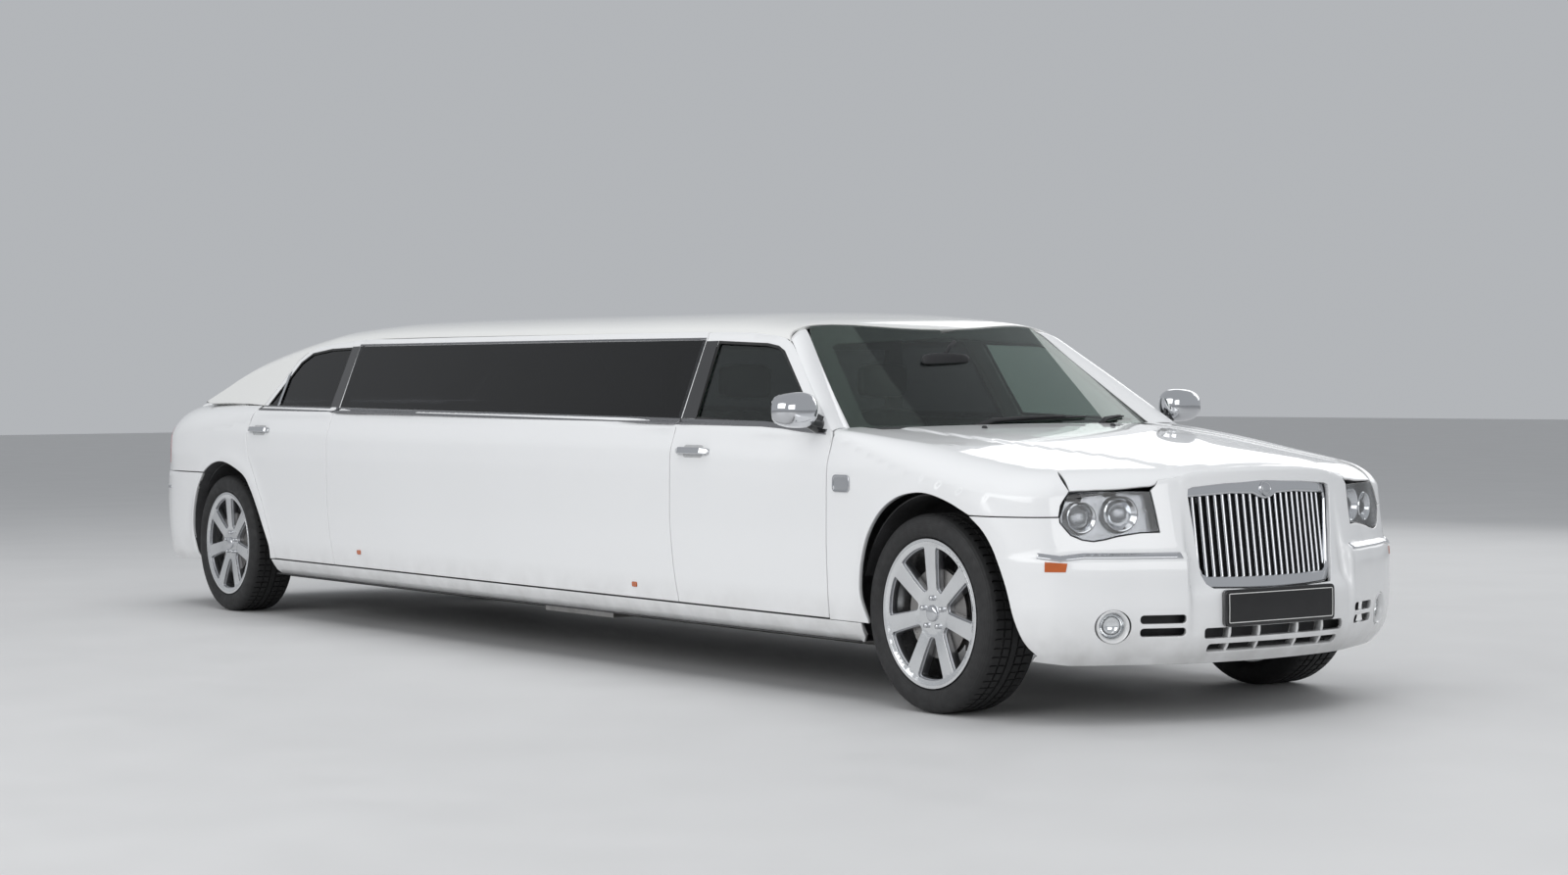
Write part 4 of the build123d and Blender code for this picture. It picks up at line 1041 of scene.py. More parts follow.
screen_post = post_surface([(-0.655, 0.775, 1.028), (-0.846, 0.716, 1.169), (-1.00, 0.663, 1.285),
                            (-1.125, 0.622, 1.386), (-1.175, 0.604, 1.417), (-1.215, 0.586, 1.425)],
                           [(-0.613, 0.893, 1.022), (-0.855, 0.812, 1.188), (-0.985, 0.764, 1.277),
                            (-1.119, 0.712, 1.3665), (-1.140, 0.707, 1.373), (-1.170, 0.690, 1.380)], 0.012)
panel("screen_post", rectangle(0, 0, 1, 1), screen_post, paint, step=0.05, edge=0.002)


# Glass, its black borders and the side mouldings


def grown_loop(points, amount):
    """A closed outline moved outwards."""
    loop = np.array(points, float)
    if area(loop) < 0:
        loop = loop[::-1]
    return [tuple(p) for p in loop - leftward(loop) * amount]


def rounded(points, radius, count=4):
    """A closed outline with its corners cut to short curves."""
    out = []
    p = [np.array(q, float) for q in points]
    for before, here, after in zip([p[-1]] + p[:-1], p, p[1:] + [p[0]]):
        back, on = before - here, after - here
        reach = min(radius, 0.45 * np.linalg.norm(back), 0.45 * np.linalg.norm(on))
        start, end = here + unit(back) * reach, here + unit(on) * reach
        for t in np.linspace(0, 1, count):
            out.append(tuple((1 - t) ** 2 * start + 2 * t * (1 - t) * here + t * t * end))
    return out


top_of_screen = cabin(*np.array(front_edge, float).T)
screen_side = [(-0.775, 1.027), (-0.748, 1.095), (-0.716, 1.169), (-0.663, 1.285), (-0.624, 1.382)]
screen_right = ([(0.0, 1.030), (-0.4, 1.030)] + screen_side
                + [(y, z - 0.004) for _, y, z in top_of_screen if y > -0.60] + [(0.0, 1.4085)])
screen_outline = screen_right + [(-y, z) for y, z in reversed(screen_right) if y < -0.001]
clear_area = rounded([(-0.694, 1.040), (-0.556, 1.362), (0, 1.388), (0.556, 1.362), (0.694, 1.040), (0, 1.046)], 0.03)
panel("windscreen_glass", screen_outline, screen, front_glass, step=0.035, depth=0.005, replaces=["windscreen"],
      mirrored=False)
panel("windscreen_border", grown_loop(screen_outline, -0.003), raised(screen, -0.0056), gloss_black,
      holes=[clear_area], step=0.035, depth=0.003, edge=0.001, mirrored=False)

rear_points = cabin(*np.array(rear_edge, float).T)
rear_right = [(0.0, 1.128), (-0.5, 1.126), (-0.76, 1.122)] + [(y, z - 0.003) for _, y, z in rear_points]
rear_outline = rear_right + [(-y, z) for y, z in reversed(rear_right) if y < -0.001]
clear_rear = rounded([(-0.60, 1.155), (-0.545, 1.28), (-0.47, 1.41), (0.47, 1.41), (0.545, 1.28), (0.60, 1.155)], 0.04)
panel("rear_glass", rear_outline, backlight, privacy_glass, step=0.035, depth=0.005, replaces=["rear_window"],
      mirrored=False)
panel("rear_glass_border", grown_loop(rear_outline, -0.003), raised(backlight, -0.0056), gloss_black,
      holes=[clear_rear], step=0.035, depth=0.003, edge=0.001, mirrored=False)


def side_raised(height):
    return raised(side_wall, height)


for label, pane, lift, glass in (("front", front_pane, -0.009, front_glass),
                                 ("rear", rear_pane, -0.007, privacy_glass)):
    door = label + "_door_{}"
    panel(label + "_pane", grown_loop(pane, 0.006), side_raised(lift), glass, door, step=0.04, depth=0.004, edge=0.001,
          replaces=["door_glass_" + label + "_{}"])
    panel(label + "_pane_seal", grown_loop(pane, 0.003), side_raised(-0.001), rubber_trim, door,
          holes=[grown_loop(pane, -0.010)], step=0.04, depth=0.006, edge=0.002)
post_strip = [(-1.579, 1.062), (-1.683, 1.062), (-1.745, 1.381), (-1.657, 1.381)]
panel("post_strip_front", post_strip, side_raised(0.002), gloss_black, "front_door_{}", step=0.04, depth=0.004,
      edge=0.0015)
stretch_glass = [(-1.692, 1.062), (-1.752, 1.385), (-2.6, 1.391), (-4.934, 1.404), (-4.848, 1.096)]
panel("stretch_glass", stretch_glass, side_raised(0.002), privacy_glass, step=0.05, depth=0.005, edge=0.0015,
      replaces=["side_windows"])
panel("stretch_glass_back", grown_loop(stretch_pane, 0.012), side_raised(-0.024), gloss_black,
      holes=[grown_loop(stretch_pane, -0.012)], step=0.05, depth=0.003, edge=0.001)
panel("rear_post_strip", [(-4.858, 1.090), (-4.952, 1.094), (-5.016, 1.404), (-4.939, 1.405)], side_raised(0.002),
      gloss_black, "rear_door_{}", step=0.04, depth=0.004, edge=0.0015)
panel("quarter_divider", [(-5.560, 1.100), (-5.582, 1.102), (-5.617, 1.262), (-5.598, 1.284)], side_raised(0.003),
      satin_chrome, "rear_door_{}", depth=0.008, edge=0.002)


def belt_strip(name, start, end, own_body):
    """The bright moulding at the foot of the windows between two stations."""
    stations = np.linspace(start, end, max(2, int(abs(end - start) / 0.12)))
    panel(name, band([(x, belt(x) + 0.001) for x in stations], 0.021), side_raised(0.004), belt_metal, own_body,
          step=0.05, depth=0.009, edge=0.004, grid=(0.05, 0.007))


belt_strip("belt_strip_front", -0.645, -1.683, "front_door_{}")
belt_strip("belt_strip_stretch", -1.689, -4.848, "body")
belt_strip("belt_strip_rear", -4.856, -5.735, "rear_door_{}")
panel("top_strip", [(-1.754, 1.386), (-2.6, 1.3925), (-4.936, 1.4055), (-4.938, 1.4145), (-2.6, 1.4015),
                    (-1.756, 1.395)], side_raised(0.003), belt_metal, step=0.06, depth=0.006, edge=0.002)


# Front end: headlamps, grille, intakes, fog lamps and plate


def loop_wall(name, points, surface, start, end, material, step=0.015):
    """The inside wall of a pocket on both sides: an outline carried inwards from one depth to another."""
    loop = dense(points, step)
    outer, inner = raised(surface, start)(*loop.T), raised(surface, end)(*(loop * 0.94 + loop.mean(0) * 0.06).T)
    rows = np.vstack([outer, (outer + inner) / 2, inner])
    for side, sign in SIDES:
        dress(add_mesh(f"{name}_{side}", rows * np.array([1, sign, 1]), grid_faces(3, len(loop))), material)


def turned(name, profile, centre, axis, material, body="body", count=32, replaces=()):
    """A closed or open profile, radius and distance along the axis, turned about it."""
    axis = np.array(axis, float) / np.linalg.norm(axis)
    helper = np.array([0, 0, 1.0]) if abs(axis[2]) < 0.9 else np.array([1.0, 0, 0])
    first = unit(np.cross(helper, axis))
    second = np.cross(axis, first)
    points = [np.array(centre) + axis * along + (first * math.cos(a) + second * math.sin(a)) * radius
              for radius, along in profile for a in np.linspace(0, 2 * math.pi, count, endpoint=False)]
    piece = add_mesh(name, points, grid_faces(len(profile), count))
    welded = bmesh.new()
    welded.from_mesh(piece.data)
    bmesh.ops.remove_doubles(welded, verts=welded.verts, dist=1e-5)
    bmesh.ops.recalc_face_normals(welded, faces=welded.faces)
    welded.to_mesh(piece.data)
    welded.free()
    piece.data.set_sharp_from_angle(angle=math.radians(40))
    dress(piece, material, body, replaces)


LAMP_FLOOR = -0.062
lamp_outline = nose(lamp_rim + [(0.62, 0.822), (0.757, 0.822)])
lens_outline = grown_loop(lamp_outline, -0.004)
panel("headlamp_lens", lens_outline, raised(body, -0.002), lamp_glass, step=0.02, depth=0.003, edge=0.0015,
      replaces=["headlamps"])
loop_wall("headlamp_wall", lens_outline, body, -0.006, -0.085, gloss_black)
panel("headlamp_reflector", grown_loop(lens_outline, -0.004), raised(body, LAMP_FLOOR), lamp_bezel, step=0.02,
      depth=0.003, edge=0.001)
bulb = [(0.032, 0.0), (0.031, 0.010), (0.026, 0.020), (0.016, 0.027), (0.0, 0.030)]
for label, (y, z), radius in (("outer", (0.726, 0.735), 0.056), ("inner", (0.588, 0.748), 0.064)):
    u, t = on_end(y, z)
    base = at_point(raised(body, LAMP_FLOOR), u, t)
    ring = [(radius, -0.01), (radius, 0.030), (radius - 0.004, 0.034), (radius - 0.010, 0.030),
            (radius - 0.024, 0.004), (0.030, 0.0)]
    for side, sign in SIDES:
        at, axis = base * np.array([1, sign, 1]), (0.94, -0.34 * sign, 0)
        turned(f"projector_ring_{label}_{side}", ring, at, axis, chrome, count=36)
        turned(f"projector_lens_{label}_{side}", bulb, at, axis, lamp_glass, count=28)

GRILLE_CURVE, GRILLE_TIP, GRILLE_LEAN, GRILLE_FOOT = 1.23, 0.838, 0.13, 0.40


def grille_face(y, z):
    x = GRILLE_TIP - GRILLE_LEAN * (z - GRILLE_FOOT) - (GRILLE_CURVE - np.sqrt(GRILLE_CURVE ** 2 - y * y))
    return at_car(x, y, z)


mouth_half = [(0.0, 0.507), (0.16, 0.508), (0.286, 0.512), (0.303, 0.522), (0.311, 0.545), (0.341, 0.778),
              (0.334, 0.790), (0.16, 0.800), (0.060, 0.797), (0.030, 0.784), (0.0, 0.778)]
surround_half = [(0.0, 0.461), (0.16, 0.464), (0.298, 0.469), (0.312, 0.476), (0.323, 0.488), (0.340, 0.520),
                 (0.377, 0.800), (0.376, 0.815), (0.368, 0.826), (0.348, 0.833), (0.20, 0.843), (0.0, 0.848)]
mouth = both_halves(mouth_half)
panel("grille_surround", both_halves(surround_half), raised(grille_face, 0.012), chrome, holes=[mouth], step=0.016,
      depth=0.040, edge=0.009, replaces=["grille"], mirrored=False)
panel("grille_back", grown_loop(mouth, 0.01), raised(grille_face, -0.046), moulded_black, step=0.05, depth=0.004,
      mirrored=False)

BAR_COUNT, BAR_PITCH, BAR_WIDTH, BAR_DEPTH, BAR_NOSE, BAR_LAP = 21, 0.031, 0.0125, 0.026, 0.008, 0.008
mouth_array = np.array(mouth)
bar_points, bar_faces = [], []
for i in range(BAR_COUNT):
    y = (i - (BAR_COUNT - 1) / 2) * BAR_PITCH
    heights = np.linspace(0.50, 0.81, 200)
    within = heights[inside(np.stack([np.full_like(heights, y), heights], 1), mouth_array)]
    levels = np.linspace(within[0] - BAR_LAP, within[-1] + BAR_LAP, 9)
    angles = np.linspace(math.pi, 0, 9)
    section = [(-BAR_WIDTH / 2, -BAR_DEPTH)] + [(BAR_WIDTH / 2 * math.cos(a), BAR_NOSE * math.sin(a) - BAR_NOSE)
                                                for a in angles] + [(BAR_WIDTH / 2, -BAR_DEPTH)]
    start = len(bar_points)
    for z in levels:
        ring = grille_face(np.array([y + dy for dy, _ in section]), np.full(len(section), z))
        ring[:, 0] += [d for _, d in section]
        bar_points += list(ring)
    bar_faces += grid_faces(len(levels), len(section), start, closed=False)
dress(add_mesh("grille_bars", bar_points, bar_faces), chrome)

trim_right = (nose([(0.425, 0.5835), (0.60, 0.5845), (0.75, 0.5865)])
              + marks((0.66, 0.845, 0.589), (0.572, 0.895, 0.592)))
panel("bumper_strip", band(trim_right, 0.021), raised(body, 0.005), chrome, depth=0.012, edge=0.006,
      grid=(0.03, 0.008))
marker = marks((0.675, 0.83, 0.578), (0.600, 0.88, 0.578), (0.600, 0.88, 0.543), (0.672, 0.83, 0.546))
panel("front_marker", marker, raised(body, 0.002), amber_lens, step=0.02, depth=0.006, edge=0.002)
for label, x, z in (("front", -1.972, 0.366), ("rear", -4.508, 0.386)):
    spot = rounded(flank_outline(rectangle(x - 0.019, z - 0.011, x + 0.019, z + 0.011)), 0.006)
    panel(f"side_marker_{label}", spot, raised(body, 0.004), amber_lens, step=0.02, depth=0.006, edge=0.002)

intake_back = flat_front(both_halves([(0.0, 0.215), (0.40, 0.215), (0.60, 0.250), (0.60, 0.400), (0.0, 0.360)]))
panel("intake_back", intake_back, raised(body, -0.055), moulded_black, step=0.04, depth=0.004, mirrored=False)

fog_u, fog_t = flat_front([fog_at])[0]
fog_base = at_point(raised(body, -0.03), fog_u, fog_t)
fog_normal = surface_normals(body, np.array([fog_u]), np.array([fog_t]))[0]
fog_ring = [(0.0595, -0.02), (0.0595, 0.026), (0.057, 0.030), (0.052, 0.027), (0.046, 0.012), (0.044, -0.004)]
fog_lens = [(0.045, 0.004), (0.043, 0.009), (0.032, 0.015), (0.016, 0.018), (0.0, 0.019)]
fog_bowl = [(0.045, 0.003), (0.040, -0.012), (0.024, -0.026), (0.0, -0.030)]
for side, sign in SIDES:
    at, axis = fog_base * np.array([1, sign, 1]), fog_normal * np.array([1, sign, 1])
    turned(f"fog_ring_{side}", fog_ring, at, axis, bumper_paint, count=40)
    turned(f"fog_lens_{side}", fog_lens, at, axis, lamp_glass, replaces=["fog_lamps"] if side == "right" else ())
    turned(f"fog_bowl_{side}", fog_bowl, at, axis, reflector)


PLATE_REACH = 0.8835


def plate_face(y, z):
    x = PLATE_REACH - 0.04 * y * y - 0.02 * np.abs(z - 0.40)
    return at_car(x, y, z)


plate_outline = rounded(rectangle(-0.262, 0.346, 0.262, 0.459), 0.010)
panel("plate_frame", grown_loop(plate_outline, 0.009), raised(plate_face, -0.005), gloss_black, step=0.06,
      mirrored=False)
panel("plate", plate_outline, raised(plate_face, -0.003), plate_black, step=0.06, depth=0.004, edge=0.001,
      mirrored=False)
panel("plate_line", grown_loop(plate_outline, -0.004), raised(plate_face, -0.0022), blank_plate,
      holes=[grown_loop(plate_outline, -0.007)], step=0.06, depth=0.001, edge=0.0003, mirrored=False)


# Wheels and tyres, on the right first and mirrored

wheel_out = smooth([(0, 0.092), (0.075, 0.092), (0.10, 0.096), (0.16, 0.101), (0.235, 0.105), (0.246, 0.1055),
                    (0.256, 0.110), (0.266, 0.1125), (0.28, 0.1125)])


def wheel_disc(axle, sunk=0.0):
    """The face of a right-hand wheel over distances from its hub."""
    def surface(a, b):
        a, b = arrays(a, b)
        out = wheel_out(np.hypot(a, b)) - sunk
        return np.stack([a + axle, -track_half - out, b + wheel_height], -1)
    return surface


def wheel_pockets(widen):
    """The openings between the spokes, each spoke wider by the given amount on both sides."""
    inner, outer = POCKET_INNER + widen, POCKET_OUTER - widen
    pockets = []
    for i in range(SPOKES):
        low = math.pi / 2 + 2 * math.pi * i / SPOKES
        high = low + 2 * math.pi / SPOKES
        half = [(r, SPOKE_HALF + widen + 0.008 * (r / outer) ** 2) for r in np.linspace(inner, outer, 6)]
        edge_low = [polar(r, low + math.asin(w / r)) for r, w in half]
        edge_high = [polar(r, high - math.asin(w / r)) for r, w in half]
        start, end = low + math.asin(half[-1][1] / outer), high - math.asin(half[-1][1] / outer)
        rim_arc = [polar(outer, a) for a in np.linspace(start, end, 8)[1:-1]]
        pockets.append(rounded(edge_low + rim_arc + edge_high[::-1], 0.009, 4))
    return pockets


SPOKES, SPOKE_HALF, POCKET_INNER, POCKET_OUTER = 7, 0.0245, 0.088, 0.2435
NUTS, NUT_CIRCLE = 5, 0.056
nut_profile = [(0.0105, 0.088), (0.0105, 0.101), (0.0085, 0.104), (0.001, 0.1055)]
wheel_rim = [(0.262, 0.1105), (0.2725, 0.1105), (0.2725, 0.103), (0.2555, 0.094), (0.2545, -0.090),
             (0.2725, -0.098), (0.2725, -0.106), (0.262, -0.106), (0.240, -0.086), (0.239, 0.070),
             (0.246, 0.092), (0.256, 0.103), (0.262, 0.1105)]
disc_profile = [(0.075, 0.066), (0.165, 0.066), (0.165, 0.060), (0.150, 0.060), (0.150, 0.048), (0.165, 0.048),
                (0.165, 0.042), (0.075, 0.042), (0.075, 0.066)]
bell_profile = [(0.080, 0.050), (0.079, 0.074), (0.070, 0.080), (0.0, 0.080)]
cap_profile = [(0.0, 0.104), (0.020, 0.1035), (0.026, 0.102), (0.0295, 0.099), (0.031, 0.094), (0.031, 0.085)]
tread_rows = [0.0, 0.012, 0.0125, 0.0205, 0.021, 0.048, 0.0485, 0.0565, 0.057, 0.082]
groove_low = {0.0125, 0.0205, 0.0485, 0.0565}
shoulder = [(0.3625, 0.092), (0.358, 0.104), (0.350, 0.1125), (0.338, 0.119), (0.322, 0.1220), (0.310, 0.1224),
            (0.300, 0.1212), (0.288, 0.1165), (0.280, 0.1105), (0.2775, 0.108), (0.2765, 0.104), (0.2735, 0.099),
            (0.262, 0.094), (0.2555, 0.090)]
TREAD_PITCHES = 66
pitch_parts = (0.0, 0.80, 0.82, 0.98)
TREAD_RADIUS, TREAD_DEPTH = 0.364, 0.007


def tyre_mesh():
    """Points and faces of a tyre about its own hub: ribs, cross cuts, shoulders, sidewalls and beads."""
    rows = [(r, -y, False, False) for r, y in reversed(shoulder)]
    tread = [-y for y in reversed(tread_rows)] + tread_rows[1:]
    rows += [(TREAD_RADIUS, y, abs(y) in groove_low, abs(y) > 0.02) for y in tread]
    rows += [(r, y, False, False) for r, y in shoulder]
    points, faces = [], []
    columns = TREAD_PITCHES * len(pitch_parts)
    for k in range(columns):
        part = k % len(pitch_parts)
        for r, y, groove, block in rows:
            skew = 0.10 * abs(y) / 0.08 if block else 0.0
            angle = 2 * math.pi * (k // len(pitch_parts) + pitch_parts[part] + skew) / TREAD_PITCHES
            cut = TREAD_DEPTH if groove or (block and part >= 2) else 0.0
            points.append(((r - cut) * math.cos(angle), y, (r - cut) * math.sin(angle)))
    n = len(rows)
    for k in range(columns):
        after = (k + 1) % columns
        for i in range(n - 1):
            faces.append((k * n + i, k * n + i + 1, after * n + i + 1, after * n + i))
    return np.array(points), faces


tyre_points, tyre_faces = tyre_mesh()
for corner, axle in (("front", front_axle), ("rear", rear_axle)):
    wheel = corner + "_wheel_{}"
    panel("wheel_face_" + corner, circle(0, 0, 0.262, 72), wheel_disc(axle), alloy_face, wheel, holes=wheel_pockets(0),
          step=0.014, depth=0.010, edge=0.0015, replaces=["rim_" + corner + "_{}"])
    panel("wheel_spokes_" + corner, circle(0, 0, 0.250, 72), wheel_disc(axle, 0.009), alloy_paint, wheel,
          holes=wheel_pockets(0.005), step=0.014, depth=0.034, edge=0.004)
    for side, sign in SIDES:
        out = (0, -sign, 0)
        centre = np.array([axle, -sign * track_half, wheel_height])
        own = wheel.format(side)
        turned(f"wheel_rim_{corner}_{side}", wheel_rim, centre, out, alloy_face, own, count=96)
        turned(f"wheel_disc_{corner}_{side}", disc_profile, centre, out, brake_disc, own, count=72)
        turned(f"wheel_bell_{corner}_{side}", bell_profile, centre, out, cast_iron, own, count=48)
        turned(f"wheel_cap_{corner}_{side}", cap_profile, centre, out, chrome, own, count=40)
        nut_points, nut_faces = [], []
        for i in range(NUTS):
            angle = 2 * math.pi * i / NUTS + math.pi / 2
            middle = centre + NUT_CIRCLE * np.array([math.cos(angle), 0, math.sin(angle)])
            nut_faces += grid_faces(len(nut_profile), 6, len(nut_points))
            nut_points += [middle + np.array([radius * math.cos(a), -sign * along, radius * math.sin(a)])
                           for radius, along in nut_profile for a in np.arange(6) * math.pi / 3]
            nut_faces.append(tuple(range(len(nut_points) - 6, len(nut_points))))
        dress(add_mesh(f"wheel_nuts_{corner}_{side}", nut_points, nut_faces), satin_chrome, own)
        placed = tyre_points * np.array([1, -sign, 1]) + centre
        piece = add_mesh(f"tyre_tread_{corner}_{side}", placed,
                         tyre_faces if sign > 0 else [f[::-1] for f in tyre_faces])
        piece.data.set_sharp_from_angle(angle=math.radians(35))
        dress(piece, tyre_rubber, own, [f"tyre_{corner}_{side}"])


# Tubes, mirrors, handles, wipers, tail lamps


def tube_mesh(route, radius, sides=10):
    """A tube round a list of points, closed at its ends, with one radius or one for each point."""
    route = np.array(route, float)
    radii = np.broadcast_to(radius, len(route))
    along = unit(np.gradient(route, axis=0))
    helper = np.array([0.13, 0.21, 1.0])
    points = []
    for at, direction, r in zip(route, along, radii):
        first = unit(np.cross(helper, direction))
        second = np.cross(direction, first)
        points += [at + r * (first * math.cos(a) + second * math.sin(a))
                   for a in 2 * math.pi * np.arange(sides) / sides]
    faces = grid_faces(len(route), sides)
    faces.append(tuple(range(sides))[::-1])
    faces.append(tuple(range((len(route) - 1) * sides, len(route) * sides)))
    return np.array(points), faces


def joined(parts):
    """Several meshes, each points and faces, as one."""
    points, faces = [], []
    for some_points, some_faces in parts:
        faces += [tuple(i + len(points) for i in f) for f in some_faces]
        points += list(some_points)
    return points, faces


def soft_box(low, high, power=5.0, rows=14, columns=28, crown=0.0):
    """A closed rounded form in a box, crowned on top."""
    low, high = np.array(low, float), np.array(high, float)
    centre, half = (low + high) / 2, (high - low) / 2
    points = []
    for i in range(rows + 1):
        lift = math.pi * (i / rows - 0.5)
        for j in range(columns):
            turn = 2 * math.pi * j / columns
            direction = np.array([math.cos(lift) * math.cos(turn), math.cos(lift) * math.sin(turn), math.sin(lift)])
            reach = (np.abs(direction) ** power).sum() ** (-1 / power)
            unit_point = direction * reach
            bulge = 1 + crown * (1 - unit_point[0] ** 2) * (1 - unit_point[1] ** 2) * (unit_point[2] > 0)
            points.append(centre + half * unit_point * np.array([1, 1, bulge / (1 + crown)]))
    return np.array(points), grid_faces(rows + 1, columns)


mirror_low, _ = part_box("door_mirror_right")
shell_low = np.array([front_axle - 0.775, mirror_low[1], 1.028])
shell_high = np.array([front_axle - 0.645, -0.905, 1.174])
points, faces = soft_box(shell_low, shell_high, 2.7, 18, 36)
back = shell_low[0] + 0.022
points[:, 0] = np.maximum(points[:, 0], back)
inner = (points[:, 1] - shell_low[1]) / (shell_high[1] - shell_low[1])
middle_z = (shell_low[2] + shell_high[2]) / 2
points[:, 2] = middle_z + (points[:, 2] - middle_z) * (0.86 + 0.14 * inner)
add_pair("mirror_shell", points, faces, chrome, "front_door_{}", ["door_mirror_{}"])
add_pair("mirror_glass", *soft_box((back - 0.003, shell_low[1] + 0.014, shell_low[2] + 0.012),
                                   (back + 0.004, shell_high[1] - 0.014, shell_high[2] - 0.012), 3.2, 12, 30),
         reflector, "front_door_{}")
foot_route = [(0.705, 0.872, 1.034), (0.702, 0.900, 1.037), (0.700, 0.930, 1.046), (0.700, 0.958, 1.062)]
add_pair("mirror_foot", *tube_mesh([(front_axle - behind, -half, z) for behind, half, z in foot_route],
                                   (0.030, 0.026, 0.020, 0.018), 14), gloss_black, "front_door_{}")
panel("mirror_sail", [(-0.690, 1.024), (-0.700, 1.075), (-0.752, 1.088), (-0.752, 1.024)], side_raised(0.003),
      gloss_black, "front_door_{}", step=0.02, depth=0.008)


def handle_surface(start, end):
    """The door's skin lifted into a bow between two stations."""
    def surface(x, z):
        x, z = arrays(x, z)
        bow = ease(x - start, 0, 0.045) * ease(end - x, 0, 0.045)
        flat_normals = surface_normals(side_wall, x, z)
        return side_wall(x, z) + (0.010 + 0.017 * bow)[..., None] * flat_normals
    return surface


for label, start, end, height in (("front", -1.638, -1.401, 0.930), ("rear", -5.770, -5.529, 0.975)):
    bar = rounded(rectangle(start, height - 0.0125, end, height + 0.0125), 0.011, 6)
    panel("handle_" + label, bar, handle_surface(start, end), chrome, label + "_door_{}", step=0.012, depth=0.011,
          edge=0.005)
    cup = rounded(rectangle(start + 0.045, height - 0.026, end - 0.045, height + 0.026), 0.024, 8)
    panel("handle_cup_" + label, cup, side_raised(0.0012), handle_shadow, label + "_door_{}", step=0.02, depth=0.003,
          edge=0.001)

wiper_parts = []
for pivot, tip, height in ((-0.30, 0.36, 1.045), (0.36, 0.62, 1.043)):
    start = np.array([front_axle - 0.515 + 0.10 * pivot * pivot, pivot, 1.022])
    along = np.linspace(pivot + 0.12, tip, 9), np.linspace(height, height + 0.012, 9)
    above, blade = (raised(screen, clear)(*along) for clear in (0.014, 0.006))
    wiper_parts.append(tube_mesh([start, (start + above[2]) / 2 + np.array([0, 0, 0.012]), *above[3:7]],
                                 (0.012, 0.010, 0.007, 0.006, 0.005, 0.004), 8))
    wiper_parts.append(tube_mesh(blade, 0.0045, 8))
dress(add_mesh("wipers", *joined(wiper_parts)), moulded_black)
for side, sign in SIDES:
    spot = at_point(hood_surface, -0.385, sign * 0.33)
    turned(f"washer_jet_{side}", [(0.0, 0.010), (0.007, 0.009), (0.011, 0.005), (0.012, -0.004)], spot, (0.2, 0, 1),
           moulded_black, "hood", count=16)

tail_outline = [(at_rear(0.645), 0.770),
                *marks((tail - 0.93, 0.700, 0.7745), (tail - 0.775, 0.878, 0.781), (tail - 0.750, 0.872, 0.90),
                       (tail - 0.785, 0.800, 1.008), (tail - 0.88, 0.665, 1.029)), (at_rear(0.645), 1.020)]
panel("tail_lamp_lens", tail_outline, raised(body, 0.001), red_lens, step=0.02, depth=0.012, edge=0.004,
      replaces=["tail_lamps"])
panel("tail_lamp_bed", grown_loop(tail_outline, 0.010), raised(body, -0.014), moulded_black, depth=0.004, edge=0.001)
reverse_spot = rounded([(at_rear(0.665), 0.800), (at_rear(0.74), 0.802), (at_rear(0.74), 0.845),
                        (at_rear(0.665), 0.842)], 0.008)
panel("reverse_lens", reverse_spot, raised(body, 0.003), blank_plate, step=0.02, depth=0.004, edge=0.001)
rear_plate = rounded(rectangle(-0.262, 0.842, 0.262, 0.955), 0.010)


def tail_face(y, z):
    """The lid's back face over half width and height, for what is fixed to it."""
    y, z = arrays(y, z)
    return body(PLAN_END, z) + np.stack([0 * y, y, 0 * y], -1)


panel("rear_plate", rear_plate, raised(tail_face, 0.010), plate_black, "trunk_lid", step=0.06, depth=0.012, edge=0.002,
      mirrored=False)
panel("lid_strip", rounded(rectangle(-0.40, 0.992, 0.40, 1.010), 0.006), raised(tail_face, 0.012), chrome, "trunk_lid",
      depth=0.016, edge=0.005, mirrored=False)
rear_strip = [*((at_rear(y), 0.640) for y in (0.0, 0.40, 0.70)),
              *marks((tail - 0.86, 0.85, 0.640), (tail - 0.72, 0.91, 0.640))]
panel("rear_bumper_strip", both_halves(band(rear_strip, 0.020), PLAN_END), raised(body, 0.0035), chrome, depth=0.010,
      edge=0.005, grid=(0.04, 0.008), mirrored=False)


# Seats and the rest of the cabin


def seat_pad(name, low, high, channels, across, material, replaces=(), tilt=None, crown=0.10):
    """A crowned pad with sewn channels pressed in across one axis, rounded by subdivision."""
    points, faces = soft_box(low, high, 6.0, 22, 64, crown)
    low, high = np.array(low, float), np.array(high, float)
    centre = (low + high) / 2
    share = (points[:, across] - low[across]) / (high[across] - low[across])
    seam = np.exp(-((((share * channels) % 1.0) - 0.5) / 0.08) ** 2) if channels > 1 else 0 * share
    points = centre + (points - centre) * (1 - 0.05 * seam)[:, None]
    pulled = np.clip(np.abs((points - centre) / ((high - low) / 2)).min(1), 0, 1)
    points = centre + (points - centre) * (1 - 0.02 * (1 - pulled))[:, None]
    if tilt is not None:
        pivot, angle = tilt
        turn = np.array(Matrix.Rotation(angle, 3, "Y"))
        points = (points - pivot) @ turn.T + pivot
    piece = add_mesh(name, points, faces)
    smoother = piece.modifiers.new("rounding", "SUBSURF")
    smoother.levels = smoother.render_levels = 1
    dress(piece, material, "body", replaces)


